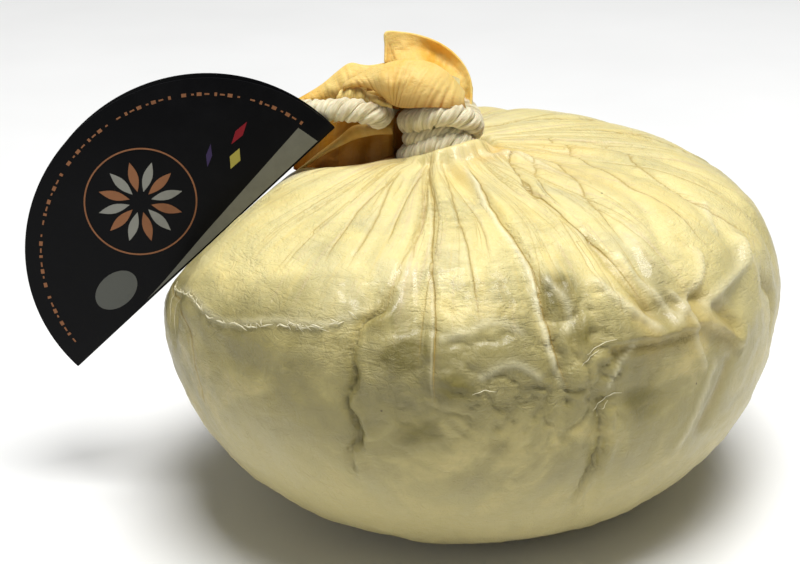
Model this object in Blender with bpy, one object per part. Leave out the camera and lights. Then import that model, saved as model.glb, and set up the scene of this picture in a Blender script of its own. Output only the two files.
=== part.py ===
# A round cheese in a dried membrane, tied off at the top with cotton cord,
# with a folded round label on the left shoulder. Metres, +Z up.
# The origin is the centre of the flat spot it stands on; the front faces -Y.
import bpy
import bmesh
import numpy as np
from math import cos, exp, log, pi, radians, sin
from mathutils import Matrix, Vector

mm = 0.001

# Ball: a squashed round body, flatter above than below
ballRadius = 79.2 * mm
widestHeight = 58.7 * mm
upperDepth = 34.3 * mm
lowerDepth = 59.4 * mm
upperFullness = 0.60
lowerFullness = 0.684
ovalShare = 0.05
ovalTurn = radians(42)
baseDrift = 4.8 * mm
ringSegments = 88
ringCount = 39

# Left shoulder: pressed flat where the label rests
shoulderNormal = Vector((-0.69, 0.26, 0.68)).normalized()
shoulderReach = 90.3 * mm
shoulderBlend = 3.0 * mm

# Dimple beside the neck, where the skin is drawn down behind a lip
dimpleCentre = (-31 * mm, 9 * mm)
dimpleDepth = 7.5 * mm
dimpleRadius = 13 * mm

# Gathered neck inside the cord
neckX = -6.8 * mm
neckY = 4.0 * mm
neckRadius = 4.8 * mm
neckTop = 110 * mm
neckPull = (12 * mm, 52 * mm)
collarReach = (11 * mm, 14.5 * mm)

# Tie: a cotton cord wound twice round the neck, one end leading to the label
cordRadius = 3.0 * mm
touchGap = 0.3 * mm
collarDrop = 3.9 * mm
windRadius = neckRadius + touchGap + cordRadius + 0.1 * mm
stepsPerTurn = 20

# Label: a round card folded along its diameter
labelRadius = 47.0 * mm
labelThickness = 0.8 * mm
labelCentre = (-67.4 * mm, -6.0 * mm, 68.0 * mm)
foldSlope = radians(43.8)
foldOpening = radians(8)
labelSegments = 48

# Membrane above the tie
membraneThickness = 1.5 * mm
rippleHeight = 3.0 * mm
sharpAngle = radians(50)


def smoothStep(low, high, value):
    t = min(max((value - low) / (high - low), 0.0), 1.0)
    return t * t * (3 - 2 * t)


def clearScene():
    for item in list(bpy.data.objects):
        bpy.data.objects.remove(item, do_unlink=True)


def material(name, color, roughness):
    made = bpy.data.materials.new(name)
    made.use_nodes = True
    shader = made.node_tree.nodes["Principled BSDF"]
    shader.inputs["Base Color"].default_value = (*color, 1.0)
    shader.inputs["Roughness"].default_value = roughness
    return made


def addObject(name, mesh, look):
    made = bpy.data.objects.new(name, mesh)
    bpy.context.collection.objects.link(made)
    mesh.materials.append(look)
    return made


def windLevel(angle, lower):
    """Height of the cord's centre line round the neck, for its upper or its lower turn."""
    if lower:
        level = 91.0 - 3.8 * sin(angle) + 0.4 * cos(angle) - 0.9 * cos(2 * angle)
        level -= 1.0 * sin(2 * angle)
    else:
        level = 99.3 - 3.1 * sin(angle) - 0.8 * cos(angle) - 1.0 * cos(2 * angle)
        level -= 0.8 * sin(2 * angle)
    return level * mm


def ballProfile():
    """Radius and height against the distance along the skin from the neck."""
    polar = np.linspace(0.004, pi, 1200)
    up = np.cos(polar) > 0
    radius = ballRadius * np.sin(polar) ** np.where(up, upperFullness, lowerFullness)
    height = widestHeight + np.where(up, upperDepth, lowerDepth) * np.cos(polar)
    start = int(np.argmax(radius > neckRadius))
    radius = np.maximum(radius[start:], 0.0)
    height = height[start:]
    steps = np.hypot(np.diff(radius), np.diff(height))
    along = np.concatenate([[0.0], np.cumsum(steps)])
    return along, radius, height


profileAlong, profileRadius, profileHeight = ballProfile()

# Folds of the skin. Each one runs down from the neck: its direction at the neck and at its
# end in degrees, where it starts and ends along the skin, its depth and its half width.
folds = (
    (252, 262, 4, 104, 1.1, 2.2),
    (274, 269, 6, 76, 0.9, 2.4),
    (275, 284, 8, 102, 1.5, 2.4),
    (298, 288, 6, 56, 1.0, 2.6),
    (322, 300, 10, 84, 1.5, 2.8),
    (346, 308, 16, 74, 1.2, 3.0),
    (356, 328, 22, 86, 1.4, 3.2),
    (10, 349, 30, 90, 1.4, 3.2),
    (246, 245, 4, 72, 1.0, 2.4),
    (240, 232, 10, 66, 0.7, 2.6),
    (230, 222, 14, 68, 0.6, 3.0),
    (34, 14, 12, 92, 1.0, 3.2),
    (56, 42, 10, 80, 1.2, 3.0),
    (80, 70, 10, 96, 1.0, 3.2),
    (100, 94, 10, 78, 1.3, 2.8),
    (122, 124, 12, 98, 1.0, 3.2),
    (150, 158, 14, 84, 1.0, 3.0),
)

# Broader hollows and swells of the skin: direction, distance along the skin, half sizes
# across and along, and height (minus for a hollow).
swells = (
    (309, 75, 10, 3.5, -2.4),
    (304, 83, 13, 3.0, 1.8),
    (299, 92, 13, 6.0, -1.5),
    (337, 72, 4, 7, 1.8),
    (328, 80, 7, 5, -2.2),
    (343, 86, 9, 8, -1.2),
    (226, 87, 22, 4, -0.9),
    (249, 88, 2.4, 17, -2.2),
    (290, 111, 2.4, 19, -1.7),
    (206, 84, 2.6, 9, -1.6),
    (201, 64, 4, 14, -0.9),
    (266, 86, 9, 6, 1.0),
    (12, 84, 14, 6, -2.0),
    (38, 92, 12, 8, 1.4),
    (72, 82, 14, 5, -1.8),
    (110, 90, 12, 9, 1.2),
    (146, 84, 12, 5, -1.6),
    (318, 10.5, 7, 3.5, 2.6),
)


def foldDepth(angle, along):
    """How far the folds and swells push the skin out, in metres."""
    degrees = np.degrees(angle) % 360
    reach = along / mm
    radius = float(np.interp(along, profileAlong, profileRadius)) / mm
    total = 0.0
    for start, end, low, high, depth, width in folds:
        share = min(max((reach - low) / (high - low), 0.0), 1.0)
        turn = (end - start + 180) % 360 - 180
        middle = start + turn * share
        aside = radians((degrees - middle + 180) % 360 - 180) * max(radius, 6.0)
        fade = smoothStep(low - 6, low + 6, reach) * (1 - smoothStep(high - 20, high, reach))
        total -= depth * fade * exp(-(aside / width) ** 2)
    for middle, place, across, down, height in swells:
        aside = radians((degrees - middle + 180) % 360 - 180) * radius
        total += height * exp(-(aside / across) ** 2 - ((reach - place) / down) ** 2)
    pleats = sin(23 * angle + 2 * sin(3 * angle)) * 0.5 + sin(14 * angle + 1.1) * 0.3
    total += pleats * smoothStep(2, 9, reach) * (1 - smoothStep(22, 58, reach))
    return total * mm


def skinPoint(angle, along):
    """A point of the ball's skin: direction round the neck, distance along the skin."""
    radius = float(np.interp(along, profileAlong, profileRadius))
    height = float(np.interp(along, profileAlong, profileHeight))
    level = min(max(height / (widestHeight + upperDepth), 0.0), 1.0)
    onTop = height > widestHeight
    pull = (1 - smoothStep(*neckPull, radius)) * onTop
    oval = 1 + ovalShare * cos(2 * (angle - ovalTurn)) * (1 - pull)
    out = radius * oval
    place = Vector((out * cos(angle), out * sin(angle), height))
    place.x += baseDrift * (1 - level) + neckX * pull
    place.y += neckY * pull
    collar = windLevel(angle, True) - collarDrop
    collarShare = (1 - smoothStep(*collarReach, radius)) * onTop
    place.z += (collar - place.z) * collarShare
    away = (place.x - dimpleCentre[0]) ** 2 + (place.y - dimpleCentre[1]) ** 2
    if onTop:
        place.z -= dimpleDepth * exp(-away / dimpleRadius ** 2) * (1 - collarShare)
    over = place.dot(shoulderNormal) - shoulderReach
    if over > 10 * shoulderBlend:
        press = over
    else:
        press = shoulderBlend * log(1 + exp(over / shoulderBlend))
    place -= shoulderNormal * press
    slope = Vector((cos(angle), sin(angle), (height - widestHeight) / upperDepth))
    place += slope.normalized() * foldDepth(angle, along) * (1 - collarShare)
    place.z = max(place.z, 0.0)
    return place


def ringPlaces():
    """Distances along the skin of the rings, closer together near the neck."""
    spacing = np.interp(profileAlong, [0, 60 * mm, profileAlong[-1]], [2.6, 5.4, 6.4])
    count = np.concatenate([[0], np.cumsum(np.diff(profileAlong) / spacing[1:])])
    share = np.linspace(0, count[-1], ringCount)
    return np.interp(share, count, profileAlong)


def buildBall(look):
    mesh = bpy.data.meshes.new("cheese")
    bm = bmesh.new()
    angles = [2 * pi * k / ringSegments for k in range(ringSegments)]
    columnRings = 5
    rings = []
    for step in range(columnRings):
        share = step / columnRings
        ring = []
        for angle in angles:
            foot = windLevel(angle, True) - collarDrop
            z = neckTop + (foot - neckTop) * share
            x = neckX + neckRadius * cos(angle)
            y = neckY + neckRadius * sin(angle)
            ring.append(bm.verts.new((x, y, z)))
        rings.append(ring)
    for along in ringPlaces()[:-1]:
        rings.append([bm.verts.new(skinPoint(angle, along)) for angle in angles])
    for upper, lower in zip(rings, rings[1:]):
        for k in range(ringSegments):
            after = (k + 1) % ringSegments
            bm.faces.new((upper[k], lower[k], lower[after], upper[after]))
    bm.faces.new(rings[0])
    bm.faces.new(reversed(rings[-1]))
    bmesh.ops.recalc_face_normals(bm, faces=bm.faces)
    bm.to_mesh(mesh)
    bm.free()
    mesh.shade_smooth()
    return addObject("cheese", mesh, look)


def smoothLine(points, count):
    """Evenly spaced points on a smooth curve through the given ones."""
    knots = [Vector(p) * mm for p in points]
    knots = [2 * knots[0] - knots[1]] + knots + [2 * knots[-1] - knots[-2]]
    dense = []
    for a, b, c, d in zip(knots, knots[1:], knots[2:], knots[3:]):
        for step in range(16):
            t = step / 16
            dense.append(0.5 * (2 * b + (c - a) * t + (2 * a - 5 * b + 4 * c - d) * t * t
                                + (3 * b - a - 3 * c + d) * t ** 3))
    dense.append(knots[-2])
    lengths = [0.0]
    for a, b in zip(dense, dense[1:]):
        lengths.append(lengths[-1] + (b - a).length)
    line = []
    for k in range(count):
        want = lengths[-1] * k / (count - 1)
        axis = [float(np.interp(want, lengths, [p[i] for p in dense])) for i in range(3)]
        line.append(Vector(axis))
    return line


def buildLeaf(name, inner, outer, bulge, pleats, look, columns=14, rows=8):
    """A leaf of membrane between an inner and an outer line, thickened to one solid."""
    start = smoothLine(inner, columns)
    end = smoothLine(outer, columns)
    bulge = Vector(bulge) * mm
    bm = bmesh.new()
    grid = []
    for row in range(rows):
        v = row / (rows - 1)
        line = []
        for column in range(columns):
            u = column / (columns - 1)
            place = start[column].lerp(end[column], v)
            place += bulge * sin(pi * v) * (0.4 + 0.6 * sin(pi * u))
            ripple = sin(pleats * pi * u + 1.3) * (1 - v) * v * rippleHeight
            place += bulge.normalized() * ripple
            line.append(bm.verts.new(place))
        grid.append(line)
    for lower, upper in zip(grid, grid[1:]):
        for k in range(columns - 1):
            bm.faces.new((lower[k], lower[k + 1], upper[k + 1], upper[k]))
    mesh = bpy.data.meshes.new(name)
    bm.to_mesh(mesh)
    bm.free()
    mesh.shade_smooth()
    leaf = addObject(name, mesh, look)
    thick = leaf.modifiers.new("thickness", "SOLIDIFY")
    thick.thickness = membraneThickness
    thick.offset = 0.0
    thick.use_even_offset = False
    return leaf


def neckArc(first, last, height, radius=3.6):
    """Points round the neck between two directions, in millimetres."""
    points = []
    for step in range(5):
        angle = radians(first + (last - first) * step / 4)
        points.append((neckX / mm + radius * cos(angle), neckY / mm + radius * sin(angle), height))
    return points


def buildTail(look):
    """The leaves of membrane that stand and hang above the tie."""
    crease = ((-21.6, 4.5, 113.6), (-19.5, 0.5, 116.0), (-15.0, -1.8, 117.4), (-10.0, -2.0, 117.0),
              (-6.0, -1.6, 115.4), (-3.4, 0.6, 112.6), (-1.8, 4.0, 108.6))
    hood = buildLeaf(
        "hood", neckArc(195, -20, 108.2),
        ((-21.0, 7.0, 113.2), (-21.4, 10.0, 120.6), (-16.1, 13.0, 120.3), (-11.5, 14.2, 119.2),
         (-6.6, 14.0, 117.5), (-1.0, 12.6, 113.6), (1.8, 10.6, 109.8), (2.0, 8.0, 106.6)),
        (1.0, 5.6, -0.6), 5, look)
    pouch = buildLeaf("pouch", neckArc(190, 350, 107.7), crease, (-2.0, -5.2, -1.5), 7, look)
    crest = buildLeaf(
        "crest", crease,
        ((-21.0, 9.0, 113.2), (-17.5, 11.5, 112.8), (-14.0, 13.0, 112.4), (-10.5, 13.0, 112.0),
         (-6.5, 12.4, 111.0), (-3.5, 10.8, 109.8), (-1.2, 8.0, 108.4)),
        (0.0, 0.6, 1.6), 3, look, rows=6)
    lobe = buildLeaf(
        "lobe", ((-9.0, 1.6, 107.6), (-10.6, 3.0, 107.8), (-10.8, 5.0, 108.0), (-9.0, 7.6, 108.4)),
        ((-43.5, 6.8, 104.0), (-38.3, 6.6, 107.0), (-31.5, 6.6, 111.6), (-22.0, 7.6, 114.4)),
        (0.0, 0.8, 1.8), 5, look)
    tuck = buildLeaf(
        "tuck", ((-10.5, -1.0, 108.2), (-13.0, -1.4, 110.0), (-15.8, -0.8, 113.0), (-19.0, 1.6, 115.6)),
        ((-32.5, 4.4, 105.6), (-31.5, 4.8, 107.4), (-30.0, 5.4, 110.0), (-27.0, 6.4, 112.8)),
        (0.0, -2.2, 1.0), 4, look, columns=9, rows=7)
    flap = buildLeaf(
        "flap",
        ((-43.4, 6.8, 103.8), (-36.0, 6.8, 106.2), (-29.0, 8.6, 107.2), (-24.5, 14.5, 107.2),
         (-17.0, 18.6, 107.0), (-9.0, 18.6, 105.0)),
        ((-44.5, 3.0, 86.5), (-36.5, 0.6, 86.5), (-28.0, 6.0, 84.5), (-23.0, 15.0, 84.0),
         (-16.0, 18.4, 84.0), (-9.0, 18.4, 84.0)),
        (0.0, 1.2, 0.0), 2, look, columns=17)
    return [hood, pouch, crest, lobe, tuck, flap]


def dropScraps(mesh):
    """Keeps the outer skin of a union, without tiny shells sealed inside it."""
    bm = bmesh.new()
    bm.from_mesh(mesh)
    unseen = set(bm.verts)
    shells = []
    while unseen:
        front = [unseen.pop()]
        shell = list(front)
        while front:
            vert = front.pop()
            for edge in vert.link_edges:
                other = edge.other_vert(vert)
                if other in unseen:
                    unseen.remove(other)
                    front.append(other)
                    shell.append(other)
        shells.append(shell)
    shells.sort(key=len)
    for shell in shells[:-1]:
        bmesh.ops.delete(bm, geom=shell, context="VERTS")
    bm.to_mesh(mesh)
    bm.free()


def joinSolids(target, parts):
    """Unites the parts with the target and removes the parts' objects."""
    group = bpy.data.collections.new("leaves")
    bpy.context.scene.collection.children.link(group)
    for part in parts:
        bpy.context.collection.objects.unlink(part)
        group.objects.link(part)
    union = target.modifiers.new("union", "BOOLEAN")
    union.operation = "UNION"
    union.operand_type = "COLLECTION"
    union.collection = group
    union.solver = "MANIFOLD"
    bpy.context.view_layer.update()
    depsgraph = bpy.context.evaluated_depsgraph_get()
    mesh = bpy.data.meshes.new_from_object(target.evaluated_get(depsgraph))
    target.modifiers.clear()
    dropScraps(mesh)
    mesh.set_sharp_from_angle(angle=sharpAngle)
    target.data = mesh
    for part in parts:
        bpy.data.objects.remove(part, do_unlink=True)
    bpy.data.collections.remove(group)


def cordRoute():
    """The centre line of the cord: from inside the label, round the neck, to its end."""
    lead = [(-51.0, 0.9, 101.0), (-46.5, 0.3, 102.2), (-41.5, -0.3, 103.0),
            (-36.5, -0.8, 103.3), (-31.0, -1.8, 104.0), (-26.0, -2.2, 103.5),
            (-22.6, -1.0, 102.0)]
    points = [Vector(p) * mm for p in lead]
    entry = [(180, 14.9, 101.2), (160, 14.6, 101.8), (140, 13.3, 103.0), (120, 11.2, 104.1),
             (100, 9.4, 104.4), (80, 8.6, 104.0), (60, 8.3, 102.8), (40, 8.2, 101.0),
             (20, 8.2, 98.9)]
    for degrees, radius, height in entry:
        angle = radians(degrees)
        points.append(Vector((neckX + radius * mm * cos(angle),
                              neckY + radius * mm * sin(angle), height * mm)))
    angle = 0.0
    step = 2 * pi / stepsPerTurn
    while angle > -2 * pi - radians(235):
        turned = -angle
        drop = smoothStep(radians(225), radians(350), turned)
        z = windLevel(angle, False) * (1 - drop) + windLevel(angle, True) * drop
        points.append(Vector((neckX + windRadius * cos(angle), neckY + windRadius * sin(angle), z)))
        angle -= step
    return points


def buildCord(look):
    curve = bpy.data.curves.new("tie_cord", "CURVE")
    curve.dimensions = "3D"
    curve.bevel_depth = cordRadius
    curve.bevel_resolution = 2
    curve.use_fill_caps = True
    route = cordRoute()
    spline = curve.splines.new("POLY")
    spline.points.add(len(route) - 1)
    for point, place in zip(spline.points, route):
        point.co = (*place, 1.0)
    cord = bpy.data.objects.new("tie_cord", curve)
    bpy.context.collection.objects.link(cord)
    curve.materials.append(look)
    return cord


def halfCard(name, look):
    """Half of the round card, its straight edge on the X axis, its face towards -Y."""
    bm = bmesh.new()
    rim = []
    for step in range(labelSegments + 1):
        angle = pi * step / labelSegments
        rim.append(bm.verts.new((labelRadius * cos(angle), 0, labelRadius * sin(angle))))
    face = bm.faces.new(rim)
    made = bmesh.ops.extrude_face_region(bm, geom=[face])
    moved = [v for v in made["geom"] if isinstance(v, bmesh.types.BMVert)]
    bmesh.ops.translate(bm, verts=moved, vec=(0, labelThickness, 0))
    bmesh.ops.recalc_face_normals(bm, faces=bm.faces)
    mesh = bpy.data.meshes.new(name)
    bm.to_mesh(mesh)
    bm.free()
    return addObject(name, mesh, look)


def buildLabel(look):
    front = halfCard("label", look)
    back = halfCard("label_back", look)
    back.data.transform(Matrix.Rotation(-foldOpening, 4, "X"))
    back.data.transform(Matrix.Translation((0, 0.15 * mm, 0)))
    joinSolids(front, [back])
    front.location = labelCentre
    front.rotation_euler = (0, -foldSlope, 0)
    return front


def main():
    clearScene()
    skinLook = material("skin", (0.78, 0.68, 0.38), 0.42)
    cordLook = material("cotton", (0.80, 0.74, 0.58), 0.9)
    labelLook = material("label_card", (0.012, 0.012, 0.014), 0.25)
    cheese = buildBall(skinLook)
    joinSolids(cheese, buildTail(skinLook))
    buildCord(cordLook)
    buildLabel(labelLook)
    print("faces", len(cheese.data.polygons))


main()
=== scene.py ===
import bmesh
import bpy
import numpy as np
from math import cos, degrees, pi, radians, sin
from mathutils import Matrix, Vector, noise


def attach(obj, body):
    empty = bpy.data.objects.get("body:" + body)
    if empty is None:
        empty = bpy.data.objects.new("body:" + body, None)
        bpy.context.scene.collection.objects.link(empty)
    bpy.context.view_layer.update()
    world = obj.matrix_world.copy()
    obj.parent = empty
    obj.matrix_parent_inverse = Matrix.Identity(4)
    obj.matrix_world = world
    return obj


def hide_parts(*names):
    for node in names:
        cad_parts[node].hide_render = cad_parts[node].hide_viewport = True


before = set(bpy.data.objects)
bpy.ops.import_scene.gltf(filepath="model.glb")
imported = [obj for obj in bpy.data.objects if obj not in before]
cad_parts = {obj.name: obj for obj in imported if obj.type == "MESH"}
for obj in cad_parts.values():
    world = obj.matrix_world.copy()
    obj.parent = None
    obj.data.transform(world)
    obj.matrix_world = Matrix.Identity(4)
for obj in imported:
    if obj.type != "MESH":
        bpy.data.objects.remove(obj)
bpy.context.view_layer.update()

mm = 0.001


def deselect():
    bpy.ops.object.select_all(action="DESELECT")


def pick(piece):
    deselect()
    piece.select_set(True)
    bpy.context.view_layer.objects.active = piece


def applyModifier(piece, name, kind, **settings):
    modifier = piece.modifiers.new(name, kind)
    for key, value in settings.items():
        setattr(modifier, key, value)
    pick(piece)
    bpy.ops.object.modifier_apply(modifier=modifier.name)


def smoothStep(low, high, value):
    t = np.clip((value - low) / (high - low), 0.0, 1.0)
    return t * t * (3 - 2 * t)


def fadeOut(low, high, value):
    return 1 - smoothStep(low, high, value)


def band(start, full, fading, gone, value):
    # rises from start to full, then falls from fading to gone
    return smoothStep(start, full, value) * fadeOut(fading, gone, value)


def bell(value, width):
    return np.exp(-(value / width) ** 2)


def aroundAxis(angle, radius, height, x=0.0, y=0.0):
    return np.stack([x + radius * np.cos(angle), y + radius * np.sin(angle), height], axis=1)


def unitRows(vectors):
    return vectors / np.linalg.norm(vectors, axis=1)[:, None]


def runLength(line):
    # how far along a line of points each point is
    return np.concatenate([[0.0], np.cumsum(np.linalg.norm(np.diff(line, axis=0), axis=1))])


def readPlaces(mesh):
    places = np.empty(len(mesh.vertices) * 3)
    mesh.vertices.foreach_get("co", places)
    return places.reshape(-1, 3)


def writePlaces(mesh, places):
    mesh.vertices.foreach_set("co", np.ascontiguousarray(places).ravel())
    mesh.update()


def addValues(mesh, name, values):
    # a number, or three, for each vertex, for the finishes to read
    kind, field = ("FLOAT_VECTOR", "vector") if np.ndim(values) == 2 else ("FLOAT", "value")
    layer = mesh.attributes.new(name, kind, "POINT")
    layer.data.foreach_set(field, np.ascontiguousarray(values).ravel())


def newPiece(name, bm):
    # an object made from bm, with its faces turned outwards
    bmesh.ops.recalc_face_normals(bm, faces=bm.faces)
    mesh = bpy.data.meshes.new(name)
    bm.to_mesh(mesh)
    bm.free()
    piece = bpy.data.objects.new(name, mesh)
    bpy.context.collection.objects.link(piece)
    return piece


def meshPiece(name, rings, material, closed=True):
    # a capped tube, or an open sheet, through rings of points of one length
    count = len(rings[0])
    bm = bmesh.new()
    rows = [[bm.verts.new(p) for p in ring] for ring in rings]
    for low, high in zip(rows, rows[1:]):
        for k in range(count if closed else count - 1):
            after = (k + 1) % count
            bm.faces.new((low[k], low[after], high[after], high[k]))
    if closed:
        bm.faces.new(list(reversed(rows[0])))
        bm.faces.new(rows[-1])
    piece = newPiece(name, bm)
    piece.data.shade_smooth()
    piece.data.materials.append(material)
    return piece


def joinPieces(pieces, name):
    deselect()
    for piece in pieces:
        piece.select_set(True)
    bpy.context.view_layer.objects.active = pieces[0]
    bpy.ops.object.join()
    joined = bpy.context.object
    joined.name = name
    joined.data.name = name
    return joined


def smoothLine(points, count, unit=mm):
    # evenly spaced points on a smooth curve through the given ones
    knots = [Vector(p) * unit for p in points]
    knots = [2 * knots[0] - knots[1]] + knots + [2 * knots[-1] - knots[-2]]
    steps = 16
    dense = []
    for a, b, c, d in zip(knots, knots[1:], knots[2:], knots[3:]):
        for step in range(steps):
            t = step / steps
            dense.append(0.5 * (2 * b + (c - a) * t + (2 * a - 5 * b + 4 * c - d) * t * t
                                + (3 * b - a - 3 * c + d) * t ** 3))
    dense.append(knots[-2])
    dense = np.array([tuple(p) for p in dense])
    lengths = runLength(dense)
    want = np.linspace(0, lengths[-1], count)
    return np.stack([np.interp(want, lengths, dense[:, i]) for i in range(3)], axis=1)


# finishes

class Nodes:
    # short calls for the nodes that the finishes are made of
    def __init__(self, tree):
        self.tree = tree

    def feed(self, socket, value):
        if isinstance(value, bpy.types.NodeSocket):
            self.tree.links.new(value, socket)
        else:
            socket.default_value = value

    def add(self, kind, inputs=None, **settings):
        node = self.tree.nodes.new("ShaderNode" + kind)
        for key, value in settings.items():
            setattr(node, key, value)
        for key, value in (inputs or {}).items():
            self.feed(node.inputs[key], value)
        return node

    def maths(self, operation, *values, clamp=False):
        return self.add("Math", dict(enumerate(values)), operation=operation, use_clamp=clamp).outputs[0]

    def times(self, a, b):
        return self.maths("MULTIPLY", a, b)

    def total(self, *pairs):
        # the sum of values, each times its weight
        made = self.times(*pairs[0])
        for value, weight in pairs[1:]:
            made = self.maths("ADD", made, self.times(value, weight))
        return made

    def ramp(self, value, low, high, toLow=0.0, toHigh=1.0):
        return self.add("MapRange", {"Value": value, "From Min": low, "From Max": high,
                                     "To Min": toLow, "To Max": toHigh}).outputs[0]

    def fold(self, value, height):
        # a sharp ridge where the noise passes its middle
        return self.times(self.maths("ABSOLUTE", self.maths("SUBTRACT", value, 0.5)), -height)

    def bell(self, value, middle, width, strength):
        off = self.maths("DIVIDE", self.maths("SUBTRACT", value, middle), width)
        return self.times(self.maths("EXPONENT", self.times(self.times(off, off), -1.0)), strength)

    def attribute(self, name, output="Fac"):
        return self.add("Attribute", attribute_name=name).outputs[output]

    def place(self):
        return self.add("TexCoord").outputs["Object"]

    def stretch(self, vector, scale):
        return self.add("Mapping", {"Vector": vector, "Scale": scale}).outputs[0]

    def noise(self, vector, scale, detail, roughness=0.5, distortion=0.0):
        return self.add("TexNoise", {"Vector": vector, "Scale": scale, "Detail": detail,
                                     "Roughness": roughness, "Distortion": distortion}).outputs[0]

    def layers(self, color, *coats):
        # colours laid over the first, each with its share
        for share, over in coats:
            node = self.add("Mix", data_type="RGBA")
            for index, value in ((0, share), (6, color), (7, over)):
                self.feed(node.inputs[index], (*value, 1.0) if isinstance(value, tuple) else value)
            color = node.outputs[2]
        return color

    def grain(self, crinkle, crumple):
        node = self.add("Group", node_tree=membraneGrain)
        inputs = {"Flow": self.attribute("flow", "Vector"), "Crinkle": crinkle, "Crumple": crumple}
        for key, value in inputs.items():
            self.feed(node.inputs[key], value)
        return node.outputs

    def bump(self, height, distance, strength=1.0):
        return self.add("Bump", {"Strength": strength, "Distance": distance, "Height": height}).outputs[0]


def newMaterial(name):
    made = bpy.data.materials.new(name)
    made.use_nodes = True
    return made, Nodes(made.node_tree)


def setShader(made, **inputs):
    # plain values, or sockets of other nodes, with _ for a space in the input's name
    shader = made.node_tree.nodes["Principled BSDF"]
    for key, value in inputs.items():
        Nodes(made.node_tree).feed(shader.inputs[key.replace("_", " ")], value)
    return made


# noises are scale, detail, roughness and distortion; ramps are from low and high, to low and high
grainFinish = {
    "alongPull": (1.0, 1.0, 0.07), "acrossPull": (0.24, 0.24, 1.0), "fibre": (1500.0, 4.0, 0.65, 0.4),
    "wrinkle": (480.0, 5.0, 0.62, 1.1), "crumple": (300.0, 5.0, 0.6, 1.4), "pore": (1900.0, 3.0),
    "cloud": (55.0, 5.0, 0.55, 0.6), "streak": (330.0, 4.0, 0.6),
    "wrinkleHeight": 1.35, "crumpleHeight": 1.1, "fibreHeight": 0.07, "poreHeight": 0.035}


def buildMembraneGrain():
    # dried skin: long fine fibres, short cross wrinkles, pores, and cloudy colour
    group = bpy.data.node_groups.new("membraneGrain", "ShaderNodeTree")
    for direction, kind, titles in (("INPUT", "Vector", ("Flow",)),
                                    ("INPUT", "Float", ("Crinkle", "Crumple")),
                                    ("OUTPUT", "Float", ("Height", "Cloud", "Streak"))):
        for title in titles:
            group.interface.new_socket(title, in_out=direction, socket_type="NodeSocket" + kind)
    nodes = Nodes(group)
    start = group.nodes.new("NodeGroupInput").outputs
    end = group.nodes.new("NodeGroupOutput").inputs
    place = nodes.place()
    along = nodes.stretch(start["Flow"], grainFinish["alongPull"])
    across = nodes.stretch(start["Flow"], grainFinish["acrossPull"])
    folded = nodes.fold(nodes.noise(across, *grainFinish["wrinkle"]), grainFinish["wrinkleHeight"])
    creased = nodes.fold(nodes.noise(place, *grainFinish["crumple"]), grainFinish["crumpleHeight"])
    fibre = nodes.noise(along, *grainFinish["fibre"])
    pore = nodes.noise(place, *grainFinish["pore"])
    nodes.feed(end["Height"], nodes.total((folded, start["Crinkle"]), (creased, start["Crumple"]),
                                          (fibre, grainFinish["fibreHeight"]),
                                          (pore, grainFinish["poreHeight"])))
    nodes.feed(end["Cloud"], nodes.noise(place, *grainFinish["cloud"]))
    nodes.feed(end["Streak"], nodes.noise(along, *grainFinish["streak"]))
    return group


skinFinish = {
    "cream": (0.78, 0.68, 0.32), "butter": (0.76, 0.59, 0.20), "creaseShadeAmber": (0.42, 0.285, 0.07),
    "oliveShade": (0.40, 0.31, 0.09), "lowShadeAndOlive": (0.160, 0.132, 0.028), "underShadeTone": (0.50, 0.43, 0.20),
    "warm": (0.68, 0.44, 0.11), "paleAndHighlight": (0.82, 0.76, 0.50), "neckShade": (0.17, 0.055, 0.004),
    "blush": (0.62, 0.46, 0.30), "speck": (0.10, 0.07, 0.03), "bumpMm": 1.2,
    "crumple": (0.1, 1.0, 0.4, 1.1), "lowShadeCloud": (0.3, 0.7, -0.26, 0.20), "shadeHides": 0.8,
    "paleCloud": (0.50, 0.80, 0.0, 0.55), "butterCloud": (0.47, 0.25, 0.0, 0.5),
    "butterStreak": (0.52, 0.72, 0.0, 0.5), "blushStreak": (0.42, 0.30, 0.0, 0.45),
    "shake": (170.0, 2.0), "shakeReach": (0.3, 0.7, -0.13, 0.13),
    "line": (0.0, 0.16), "lineShadeShare": 1.1, "lineHeight": -0.22,
    "edge": (0.62, 0.32), "edgeHighlightShare": 0.35, "edgeHeight": 0.14,
    "dotScale": 95.0, "dotRare": (0.955, 0.96), "dotSize": (0.036, 0.022, 0.0, 0.85),
    "roughCloud": (0.3, 0.7, 0.33, 0.5), "roughStreak": (0.3, 0.7, -0.05, 0.05),
    "coatCloud": (0.42, 0.66, 0.08, 0.32)}


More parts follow.
